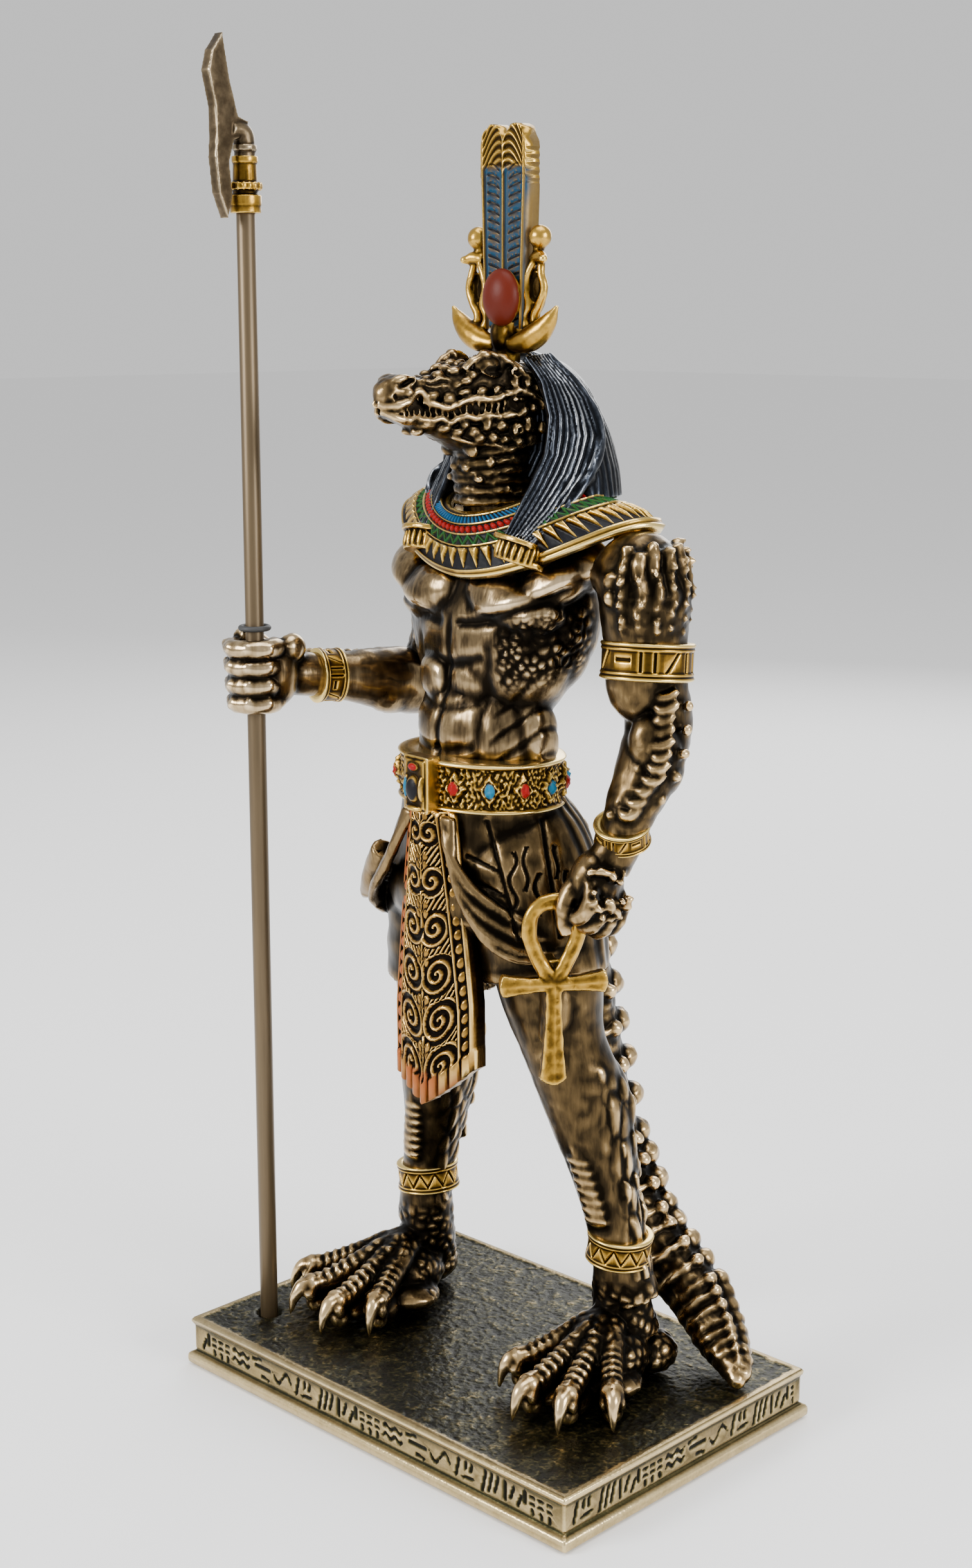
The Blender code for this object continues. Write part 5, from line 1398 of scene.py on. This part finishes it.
def jaw_half(ahead):
    """Half the width of the jaws at a distance ahead of the head's middle."""
    return float(np.interp(ahead, JAW_REACH, JAW_HALF))


def knob(side, ahead, height, radii, tilt=0.0, roll=0.0):
    """A lump placed and turned with the head."""
    lump(on_head(side, ahead, height), radii, (tilt, roll, HEAD_TURN))


def loft(sections):
    """Press a form through oval sections of (ahead, low, high, half width) along the head into the clay."""
    form = bmesh.new()
    rings = []
    for ahead, low, high, half in sections:
        ring = []
        for step in range(32):
            angle = step / 32 * 2 * math.pi
            c, s = math.cos(angle), math.sin(angle)
            side = half * math.copysign(abs(c) ** 0.8, c)
            height = (low + high) / 2 + (high - low) / 2 * math.copysign(abs(s) ** 0.8, s)
            ring.append(form.verts.new(Vector(on_head(side, ahead, height)) * MM))
        rings.append(ring)
    for first, second in zip(rings, rings[1:]):
        for step in range(32):
            form.faces.new((first[step], first[(step + 1) % 32], second[(step + 1) % 32], second[step]))
    form.faces.new(rings[0])
    form.faces.new(rings[-1])
    bmesh.ops.recalc_face_normals(form, faces=form.faces[:])
    mesh = bpy.data.meshes.new("loft")
    form.to_mesh(mesh)
    form.free()
    clay.append(mesh)


loft((
    (30.2, 214.2, 216.0, 0.8), (29.5, 213.4, 217.2, 2.0), (28.0, 213.1, 218.4, 3.0),
    (25.8, 213.3, 219.0, 3.5),
    (23.4, 214.6, 218.9, 3.1), (21.6, 215.2, 218.4, 3.0), (19.0, 213.6, 218.1, 3.4),
    (16.0, 212.9, 218.9, 4.1),
    (13.0, 213.3, 220.0, 4.8), (10.0, 213.9, 220.8, 5.4), (6.0, 214.0, 221.4, 6.6), (2.0, 214.8, 221.6, 7.8),
    (-2.0, 214.4, 221.2, 8.8), (-6.0, 212.0, 219.0, 9.0),
))
loft((
    (29.0, 211.3, 212.1, 0.8), (27.4, 210.5, 211.6, 2.2), (24.4, 209.5, 210.9, 2.9),
    (21.2, 207.8, 210.8, 3.1),
    (18.0, 207.2, 210.4, 3.5), (15.0, 206.0, 209.9, 4.2), (12.0, 204.4, 210.6, 4.9), (9.0, 203.0, 210.8, 5.7),
    (6.0, 202.4, 210.8, 6.7), (2.0, 202.0, 211.6, 7.9), (-2.0, 201.6, 212.6, 8.9), (-6.0, 201.6, 213.0, 8.8),
))
loft((
    (26.5, 210.0, 214.0, 1.2), (20.0, 209.0, 216.0, 1.9), (12.0, 208.0, 216.0, 3.4), (4.0, 207.0, 217.0, 5.6),
    (-5.0, 206.0, 217.0, 7.4),
))
knob(0, -2, 213.0, (9.0, 9.0, 8.6))
# The throat and the rings round it
drum(on_head(0, 0.6, 199.5), (7.4, 8.4), (7.6, 9.2), 13.0, (0, 0, HEAD_TURN))
for step in range(6):
    height = 204.4 - step * 2.1
    ring = []
    for turn in range(14):
        angle = turn / 14 * 2 * math.pi
        lean = 0.9 * math.sin(angle) * (step < 3)
        ring.append((*on_head(7.0 * math.cos(angle), 0.6 + (8.9 - 0.2 * step) * math.sin(angle), height
                              - lean),
                     1.15 + 0.16 * math.sin(turn * 2.7 + step * 1.3)))
    rope(ring, closed=True, sides=5)
for side in (-1, 1):
    for step in range(5):
        knob(side * (1.4 + step * 1.5), 9.2 - 0.35 * step * step, 202.6 - step * 1.6, (0.85, 0.8, 0.8))
for side in (-1, 1):
    knob(side * 3.6, 10.0, 204.2, (2.2, 1.2, 1.6), 0.3, side * 0.3)
    knob(side * 5.9, 6.6, 201.7, (1.0, 1.1, 1.15))
    knob(side * 1.8, 9.9, 200.6, (1.3, 0.7, 0.8))
    knob(side * 4.4, 8.6, 198.4, (1.4, 0.8, 0.8), 0, side * 0.2)
    # Lips: the upper rim rises at the notch behind the nose, dips, then runs up to the jaw's corner
    upper = (
        (29.9, 213.5), (28.6, 213.1), (27.2, 213.2), (25.4, 213.7), (24.0, 214.3), (23.1, 215.5),
        (22.0, 215.9),
        (20.7, 214.9), (19.9, 213.7), (18.0, 213.0), (15.6, 212.6), (13.9, 213.1), (12.3, 213.8),
        (10.6, 214.2),
        (8.6, 214.2), (7.0, 214.0), (5.4, 214.3), (3.8, 214.9), (1.8, 215.4), (-0.2, 215.5), (-1.9, 214.8),
        (-3.4, 213.6), (-4.2, 212.4),
    )
    rope([(*on_head(side * (jaw_half(ahead) - 0.25), ahead, height), 0.85) for ahead, height in upper])
    lower = (
        (29.3, 212.2), (28.3, 211.7), (27.2, 211.0), (24.7, 210.5), (22.6, 210.9), (21.4, 210.5),
        (19.0, 210.2),
        (17.2, 210.5), (15.4, 209.7), (13.9, 210.4), (11.8, 210.9), (9.8, 210.4), (7.6, 211.0), (5.2, 210.8),
        (2.6, 211.0), (0.0, 211.5),
    )
    rope([(*on_head(side * (jaw_half(ahead) - 0.35), ahead, height - 0.15), 0.75) for ahead, height in lower])
    knob(side * 9.3, -4.0, 213.0, (0.9, 1.1, 1.3))
    knob(side * 8.5, 0.2, 211.9, (0.9, 1.0, 0.8))
    knob(side * 8.9, -1.8, 212.2, (0.8, 0.9, 0.8))
    # Teeth along both jaws
    for step in range(21):
        ahead = mixed(27.6, 1.5, step / 20)
        top = float(np.interp(-ahead, [-point[0] for point in upper], [point[1] for point in upper]))
        knob(side * (jaw_half(ahead) - 0.15), ahead, top - 1.0, (0.26, 0.30, 0.95))
    for step in range(20):
        ahead = mixed(27.0, 3.0, step / 19)
        foot = float(np.interp(-ahead, [-point[0] for point in lower], [point[1] for point in lower]))
        knob(side * (jaw_half(ahead) - 0.25), ahead, foot + 0.9, (0.26, 0.30, 0.95))
    # Nostril: a slanting oval rim on the bulge of the nose, with a small pit below it
    rim = []
    for step in range(10):
        angle = step / 10 * 2 * math.pi
        along, up = 1.9 * math.cos(angle), 0.85 * math.sin(angle)
        rim.append((*on_head(side * (3.0 - 0.16 * along - 0.3 * abs(math.sin(angle))), 25.0 + along, 217.4
                             - 0.36 * along + up), 0.36))
    rope(rim, closed=True)
    knob(side * 2.2, 26.0, 218.2, (1.3, 2.0, 0.9), 0.25)
    for step in range(6):
        angle = step / 6 * 2 * math.pi
        knob(side * 2.75, 27.6 + 0.75 * math.cos(angle), 215.0 + 0.75 * math.sin(angle), (0.4, 0.36, 0.36))
    # Swellings above the lip, and ridges along the snout
    for ahead, height, radii in (
        (15.4, 214.3, (0.9, 1.8, 1.25)), (19.0, 214.9, (0.8, 1.6, 0.95)), (12.2, 215.5, (0.8, 1.7, 0.7)),
        (8.6, 215.7, (0.7, 1.5, 0.8)), (5.4, 215.9, (0.7, 1.3, 0.9)), (2.0, 217.2, (0.8, 1.2, 0.9)),
        (-0.6, 217.3, (0.8, 1.0, 1.0)), (-2.4, 216.2, (0.8, 0.9, 1.2)), (24.6, 215.6, (0.8, 1.2, 0.9)),
    ):
        knob(side * (jaw_half(ahead) - 0.15), ahead, height, radii, 0.15)
    for low, high, start, finish in ((216.9, 216.4, 22.4, 14.0), (217.6, 218.2, 22.0, 15.0),
                                     (216.4, 217.6, 13.0, 7.0)):
        ridge = []
        for step in range(7):
            ahead = mixed(start, finish, step / 6)
            ridge.append((*on_head(side * (jaw_half(ahead) - 0.35 - 0.3 * (low > 217)), ahead,
                                   mixed(low, high, step / 6) + 0.25 * math.sin(step * 1.9)), 0.36))
        rope(ridge)
    for near, ahead, height, size in (
        (1.6, 19.3, 218.3, 0.8), (2.2, 16.8, 219.0, 0.95), (1.5, 14.6, 220.3, 0.9), (3.0, 13.4, 219.8, 0.95),
        (2.8, 16.0, 218.4, 0.7), (4.6, 10.4, 219.0, 1.15), (1.6, 11.0, 221.2, 0.8), (3.4, 11.2, 220.6, 0.9),
        (1.5, 22.4, 218.4, 0.6), (5.2, 12.0, 217.9, 0.8), (4.4, 13.6, 217.2, 0.7),
    ):
        knob(side * (near - 0.15), ahead, height - 0.25, (size * 1.25, size * 1.6, size), 0.1)
    # Brow: a swelling with a sharp wavy ridge over the sunken eye, and the ear's ring behind it
    knob(side * 5.2, 6.2, 220.6, (1.9, 4.0, 2.0))
    brow = ((4.6, 12.3, 219.8), (5.0, 11.0, 221.3), (5.3, 8.8, 222.4), (5.6, 7.2, 222.9), (6.0, 5.6, 222.6),
            (6.5, 4.2, 222.2), (7.1, 2.3, 221.0), (7.7, 1.3, 220.1), (8.3, 0.2, 219.0), (8.8, -1.4, 218.2))
    rope([(*on_head(side * near, ahead, height - 0.1), 0.72) for near, ahead, height in brow])
    knob(side * 5.3, 7.6, 222.6, (1.3, 1.6, 0.9), -0.2)
    for high, size in ((220.3, 0.34), (218.6, 0.38)):
        lid = []
        for step in range(7):
            ahead = mixed(9.4, 4.0, step / 6)
            bend = math.sin(step / 6 * math.pi)
            lid.append((*on_head(side * (6.2 + 0.6 * bend + 0.06 * (9 - ahead)), ahead, 219.5
                                 + (high - 219.5) * bend), size))
        rope(lid)
    knob(side * 6.1, 6.8, 219.5, (1.1, 1.5, 1.0))
    ear = []
    for step in range(8):
        angle = step / 8 * 2 * math.pi
        ear.append((*on_head(side * 8.15, 1.6 + 1.5 * math.cos(angle), 219.2 + 0.8 * math.sin(angle)), 0.34))
    rope(ear, closed=True)
    # Plates along the jaw
    for near, ahead, height, radii in (
        (6.2, 7.3, 209.1, (0.9, 1.35, 1.35)), (7.2, 4.4, 208.6, (0.8, 1.2, 1.0)),
        (8.0, 1.5, 208.0, (1.0, 1.25, 1.3)),
        (8.8, -1.2, 208.8, (0.9, 1.2, 1.5)), (5.3, 10.2, 207.7, (0.9, 1.3, 1.0)),
        (4.9, 12.2, 209.0, (0.8, 1.0, 0.8)),
        (5.9, 9.2, 206.5, (0.8, 1.2, 0.8)), (6.7, 6.4, 206.7, (0.8, 1.2, 0.8)),
        (7.4, 3.8, 206.1, (0.8, 1.2, 0.8)),
        (8.2, 1.0, 205.9, (0.8, 1.2, 0.8)), (8.8, -1.8, 206.4, (0.8, 1.3, 0.8)),
        (9.0, -4.2, 208.2, (0.9, 1.3, 1.5)),
        (3.0, 24.4, 210.0, (0.6, 2.1, 0.6)), (3.3, 19.6, 209.3, (0.7, 1.8, 0.7)),
        (4.0, 16.2, 208.6, (0.7, 1.5, 0.7)),
        (4.6, 13.6, 207.8, (0.8, 1.2, 0.7)), (1.6, 21.4, 207.9, (1.3, 1.2, 0.7)),
        (8.6, 1.6, 214.0, (0.5, 1.3, 0.4)),
    ):
        knob(side * (near - 0.2), ahead, height, [1.2 * radius for radius in radii])
    edge = [(*on_head(side * (jaw_half(ahead) - 0.1), ahead, height), 0.42) for ahead, height in (
        (15.0, 206.9), (12.6, 206.0), (10.0, 205.4), (7.4, 205.2), (4.6, 204.6), (1.6, 204.6),
        (-1.4, 205.2), (-4.0, 205.8))]
    rope(edge)
head = cast("head", 0.00026, 5)


def head_place(points):
    """Points given in the head's own directions: to the side, ahead and up."""
    dx, dy = points[:, 0] + 0.5, points[:, 1] - 3.0
    c, s = math.cos(-HEAD_TURN), math.sin(-HEAD_TURN)
    return dx * c - dy * s, -(dx * s + dy * c), points[:, 2]


def head_depth(points, normals):
    """Small scales on the cheeks, crown and throat, a dark dot on one jaw plate and the nostrils."""
    side, ahead, z = head_place(points)
    cheek = np.clip((9.0 - ahead) / 4, 0, 1) * np.clip((z - 203) / 3, 0.4, 1)
    depth = scales(points, 0.15 + 0.6 * cheek, 2.5, 0.36)
    depth -= (0.9 * np.exp(-(((ahead - 25.2) / 1.3) ** 2
                             + ((z - 217.3 + (ahead - 25.2) * 0.36) / 0.45) ** 2)) * (np.abs(side) > 1.8))
    depth -= 0.5 * np.exp(-(((ahead - 27.6) / 0.35) ** 2 + ((z - 215.0) / 0.4) ** 2))
    depth -= 0.6 * np.exp(-(((ahead - 1.5) / 0.4) ** 2 + ((z - 208.0) / 0.4) ** 2))
    return depth + hammered(points, 0.12, 0.8)


carve(head, head_depth)
age(head, fine=0.15, broad=0.42, rounds=(5, 40), lift=0.04)
points, _, _ = grid_of(head)
side, ahead, z = head_place(points / MM)
half = np.interp(ahead, JAW_REACH, JAW_HALF)
roof = np.interp(ahead, (-4, 2, 8, 12, 15.6, 20, 22, 24, 29),
                 (212.6, 215.2, 214.1, 213.7, 212.6, 213.6, 215.6, 214.2, 213.2))
mouth = (z > 210.9) & (z < roof - 0.5) & (np.abs(side) < half - 0.7) & (ahead > -3.5)
eye = (((ahead - 6.7) / 2.3) ** 2 + ((z - 219.5) / 1.0) ** 2 < 1) & (np.abs(side) > 4)
value = wear_and_painted_light_of(head)
for line, gain in ((upper, 0.16), (lower, 0.10), ([point[1:] for point in brow], 0.08)):
    height = np.interp(-ahead, [-point[0] for point in line], [point[1] for point in line])
    value += (gain * np.exp(-((z - height) / 0.6) ** 2) * np.clip((np.abs(side) - half + 2.2) / 0.8, 0, 1)
              * (ahead > -5))
value += 0.07 * np.clip((ahead - 20) / 4, 0, 1)
value[mouth | eye] = np.minimum(value[mouth | eye], 0.22)
store_wear_and_painted_light(head, value)
dress(head, bronze, keep=0.55)

# Crown
# Two tall plumes with a sun disc at their foot, on a pair of wide ram's horns, between two
# cobras that carry suns. Gold on the edges and horns, with blue barbs in the plumes.
CROWN_X = 0.6


def plume_front(across, down):
    """A point on the plumes' front face."""
    half = mixed(5.1, 6.1, min(1.0, (1 - down) * 1.3))
    bulge = abs(math.sin(across * 2 * math.pi)) ** 0.5
    return CROWN_X + (across - 0.5) * 2 * half, 3.0, mixed(262.4 + 4.4 * bulge, 227.5, down)


def plume_marks(across, down):
    """Ribs, barbs and lobes of the plumes in relief, and the enamel between the barbs."""
    x = (across - 0.5) * 12.0
    z = (1 - down) * 39.0
    rib = np.exp(-(x / 0.42) ** 2)
    edge = np.exp(-((np.abs(x) - 5.45) / 0.42) ** 2)
    slope = z - np.abs(x) * 0.28
    barb = np.exp(-(((slope % 1.75) - 0.87) / 0.24) ** 2) * np.clip((np.abs(x) - 1.1) / 0.4, 0, 1)
    barb = barb * np.clip((4.7 - np.abs(x)) / 0.4, 0, 1)
    lobe = np.clip((z - 31.0) / 1.0, 0, 1)
    groove = 0.5 + 0.5 * np.sin((z + np.abs(x) * 1.1) * 2 * math.pi / 1.7)
    inner = (1 - np.clip(rib, 0, 1)) * (1 - np.clip(edge, 0, 1))
    relief = 0.9 * rib + 0.9 * edge + inner * mixed(-0.45 * barb, 0.55 * groove, lobe)
    return relief, inner * (1 - lobe), barb


plumes = pressed_sheet(
    "plumes", 120, 330, plume_front, lambda across, down: 0.6 * plume_marks(across, down)[0] - 0.1,
    (0, 3.9, 0))
points, normals, _ = grid_of(plumes)
x, y, z = (points / MM).T
half = np.interp(z, (227.5, 258.0), (5.1, 6.1))
across, down = (x - CROWN_X) / (2 * half) + 0.5, (266.0 - z) / 38.5
_, field, barb = plume_marks(across, down)
blue = field * (y < 3.6)
streak = np.array([noise.noise(Vector((spot[0] * 2.2, 0, spot[2] * 0.9))) for spot in points / MM])
inlay(plumes, [
    (blue * 1.2, (0.004, 0.040, 0.082)), (blue * np.clip(streak * 1.6, 0, 0.6), (0.012, 0.020, 0.022)),
    (blue * np.clip(barb * 1.5, 0, 1), ONYX)])
age(plumes, fine=0.04, broad=0.22, rounds=(3, 14))
value = wear_and_painted_light_of(plumes)
value = np.where(normals[:, 1] > -0.9, np.minimum(value, 0.60), value)
store_wear_and_painted_light(plumes, value)
dress(plumes, inlaid_gold, keep=0.36)
lump((CROWN_X + 1.3, 1.2, 233.6), (4.5, 3.0, 5.6))
disc = cast("sun_disc", 0.00025, 2)
points, _, _ = grid_of(disc)
x, y, z = (points / MM).T
inlay(disc, [(1.05 * (np.hypot((x - CROWN_X - 1.3) / 4.5, (z - 233.6) / 5.6) < 1.02) * (y < 1.4),
              (0.085, 0.009, 0.003))])
age(disc, fine=0.04, broad=0.25)
dress(disc, inlaid_gold)
rope(((-0.6, 4.2, 217, 3.6), (0.4, 4.2, 223, 2.8), (0.8, 4.4, 229, 3.0)), sides=6)
for side in (-1, 1):
    reach = 13.8 if side > 0 else 15.0
    rope([
        (CROWN_X + side * share * reach, 3.0 + 0.8 * share, 224.6 + 7.4 * share ** 3.0, thick)
        for share, thick in ((0.0, 1.0), (0.16, 1.5), (0.36, 2.2), (0.56, 2.5), (0.76, 2.1), (0.90, 1.3),
                             (1.0, 0.35))
    ], sides=9)
lump((CROWN_X, 2.6, 226.4), (2.2, 2.6, 3.4))
for side in (-1, 1):
    x = CROWN_X - 0.4 + side * 7.6
    # A raised cobra: its coil, an open hood edged with a cord, the head turned out and the sun above
    lump((x - side * 0.2, 5.2, 234.6), (2.3, 1.3, 4.4))
    rope((
        (x + side * 1.6, 4.6, 240.6, 0.75), (x + side * 1.9, 4.2, 238.2, 0.8),
        (x + side * 2.7, 4.2, 235.4, 0.8),
        (x + side * 1.6, 4.2, 232.4, 0.85), (x + side * 0.2, 4.2, 229.8, 0.9),
        (x + side * 0.8, 4.2, 227.6, 1.0),
    ), sides=7)
    rope((
        (x + side * 0.2, 4.4, 240.8, 0.7), (x - side * 1.2, 4.0, 238.6, 0.75),
        (x - side * 2.1, 4.0, 235.6, 0.8),
        (x - side * 1.4, 4.0, 232.2, 0.8), (x - side * 2.4, 4.2, 229.4, 0.9),
        (x - side * 1.6, 4.0, 227.4, 1.0),
    ), sides=7)
    rope(((x - side * 0.6, 5.0, 241.0, 1.3), (x + side * 1.6, 4.2, 241.4, 1.2),
          (x + side * 3.0, 3.6, 240.9, 0.9)), sides=7)
    lump((x + side * 3.2, 3.3, 241.0), (0.9, 0.9, 0.8))
    lump((x + side * 0.8, 5, 245.2), (2.3, 2.3, 2.3))
    lump((x + side * 0.4, 5, 242.8), (1.2, 1.2, 0.8))
    block((x - side * 1.6, 5.6, 235.0), (2.6, 2.0, 13.0))
crown = cast("crown_base", 0.00026, 2)


def crown_depth(points, normals):
    """The hollow of each cobra's hood and fine brush marks."""
    x, y, z = points.T
    hollow = np.zeros(len(points))
    for side in (-1, 1):
        centre = CROWN_X - 0.4 + side * 7.8
        hollow += np.clip(1 - ((x - centre) / 1.3) ** 2 - ((z - 235.6) / 3.0) ** 2, 0, 1) * (y < 4.6)
    return hammered(points, 0.05, 0.9) - 0.7 * np.clip(hollow * 2, 0, 1)


carve(crown, crown_depth)
age(crown, fine=0.06, broad=0.34, rounds=(4, 26), lift=0.05)
points, _, _ = grid_of(crown)
x, y, z = (points / MM).T
value = wear_and_painted_light_of(crown)
stem = np.clip(1.4 - np.abs(x - CROWN_X) / 1.7, 0, 1) * (z < 230)
hood = np.zeros(len(points))
for side in (-1, 1):
    hood += (np.clip(1.5 - ((x - CROWN_X + 0.4 - side * 7.8) / 1.2) ** 2 - ((z - 235.6) / 2.8) ** 2, 0, 1)
             * (y < 5.4))
store_wear_and_painted_light(crown, value * (1 - 0.55 * np.clip(stem + hood, 0, 1)))
dress(crown, gold)

# Staff
# A plain brown rod stands in the plinth's blind hole and runs through the fist. Its cast head has
# a turned gold socket and a forked brown blade, and a black rubber ring holds the height of the grip.
bpy.ops.object.select_all(action="DESELECT")
bpy.ops.mesh.primitive_cylinder_add(
    vertices=64, radius=STAFF_RADIUS, depth=0.2493, location=(STAFF_X, STAFF_Y, 0.0045 + 0.2493 / 2))
rod = bpy.context.object
rod.name = "staff_rod"
bpy.ops.object.transform_apply(location=True, rotation=True, scale=True)
bpy.ops.object.mode_set(mode="EDIT")
bpy.ops.mesh.select_all(action="SELECT")
bpy.ops.mesh.bisect(plane_co=(0, 0, 0.1), plane_no=(0, 0, 1))
bpy.ops.object.mode_set(mode="OBJECT")
bevel = rod.modifiers.new("edge", "BEVEL")
bevel.width = 0.0002
bevel.segments = 2
bevel.limit_method = "ANGLE"
apply_all(rod)
brown = shade(
    "brown_satin",
    ((0.0, (0.045, 0.030, 0.014)), (0.42, (0.085, 0.058, 0.029)), (0.56, (0.125, 0.088, 0.046)),
     (1.0, (0.24, 0.18, 0.10))),
    (0.42, 0.34), 0.6, grain=(1, 1, 0.05), bump=0.08, mottle=0.14)
layer = rod.data.attributes.new("wear_and_painted_light", "FLOAT", "POINT")
layer.data.foreach_set("value", np.full(len(rod.data.vertices), 0.5))
dress(rod, brown, "staff_shaft", keep=1)
work_on(rod)
bpy.ops.object.shade_smooth_by_angle(angle=0.6)
bpy.ops.object.select_all(action="DESELECT")
bpy.ops.mesh.primitive_torus_add(
    major_segments=72, minor_segments=20, major_radius=0.0029, minor_radius=0.0006,
    location=(STAFF_X, STAFF_Y, 0.1657))
grip = bpy.context.object
grip.name = "rubber_grip_ring"
bpy.ops.object.transform_apply(location=True, rotation=True, scale=True)
rubber = shade(
    "black_rubber", ((0.0, (0.008, 0.008, 0.008)), (1.0, (0.030, 0.030, 0.030))), (0.75, 0.6), 0.0, bump=0.2)
age(grip)
dress(grip, rubber, "grip_ring", keep=1)
foot, neck = 250.3, 261.5
drum((sx, sy, foot + 5.5), (2.75, 2.75), (2.35, 2.35), 11.0)
for height, radius, tall in ((0.9, 3.15, 0.9), (2.6, 3.25, 0.95), (5.3, 3.3, 0.7), (10.6, 2.65, 0.6)):
    drum((sx, sy, foot + height), (radius, radius), (radius, radius), tall * 2)
for rib in range(16):
    angle = rib / 16 * 2 * math.pi
    lump((sx + 3.1 * math.cos(angle), sy + 3.1 * math.sin(angle), foot + 5.3), (0.45, 0.45, 0.9))
socket = cast("staff_socket", 0.0002, 3)
age(socket, fine=0.05, broad=0.24, rounds=(4, 20), lift=0.04)
dress(socket, gold, "staff_head")
rope(((sx, sy, neck - 1.2, 2.15), (sx, sy, neck + 2.4, 2.2), (sx, sy - 0.8, neck + 4.6, 2.1),
      (sx, sy - 3.8, neck + 5.0, 1.8)), sides=7)
drum((sx, sy, neck + 1.6), (2.5, 2.5), (2.5, 2.5), 1.0)
BLADE = (
    (-29.6, 284.8), (-32.2, 281.4), (-33.3, 277.5), (-31.8, 271.0), (-31.6, 266.0), (-32.0, 261.0),
    (-31.2, 254.0), (-29.2, 249.2), (-27.8, 253.6), (-28.6, 260.0), (-27.2, 264.4), (-24.6, 265.2),
    (-23.4, 268.2), (-26.0, 269.0), (-28.0, 276.0),
)
outline = bpy.data.curves.new("blade", "CURVE")
outline.dimensions = "2D"
outline.fill_mode = "BOTH"
outline.extrude = 0.0013
spline = outline.splines.new("POLY")
spline.points.add(len(BLADE) - 1)
for point, (y, z) in zip(spline.points, BLADE):
    point.co = (y * MM, z * MM, 0, 1)
spline.use_cyclic_u = True
guide = bpy.data.objects.new("blade", outline)
bpy.context.scene.collection.objects.link(guide)
bpy.context.view_layer.update()
mesh = bpy.data.meshes.new_from_object(guide.evaluated_get(bpy.context.evaluated_depsgraph_get()))
mesh.transform(Matrix(((0, 0, 1, STAFF_X), (1, 0, 0, 0), (0, 1, 0, 0), (0, 0, 0, 1))))
clay.append(mesh)
bpy.data.objects.remove(guide, do_unlink=True)
staff_head = cast("staff_head_cast", 0.0002, 5)
carve(staff_head, lambda points, normals: hammered(points, 0.07, 0.5))
age(staff_head, fine=0.05, broad=0.30, rounds=(5, 26), lift=0.04)
aged_bronze = shade(
    "aged_bronze",
    ((0.0, (0.010, 0.007, 0.004)), (0.42, (0.050, 0.035, 0.020)), (0.54, (0.130, 0.095, 0.055)),
     (0.70, (0.32, 0.25, 0.155)), (1.0, (0.70, 0.58, 0.41))),
    (0.42, 0.28), 1.0, bump=0.10, mottle=0.10)
dress(staff_head, aged_bronze, "staff_head")
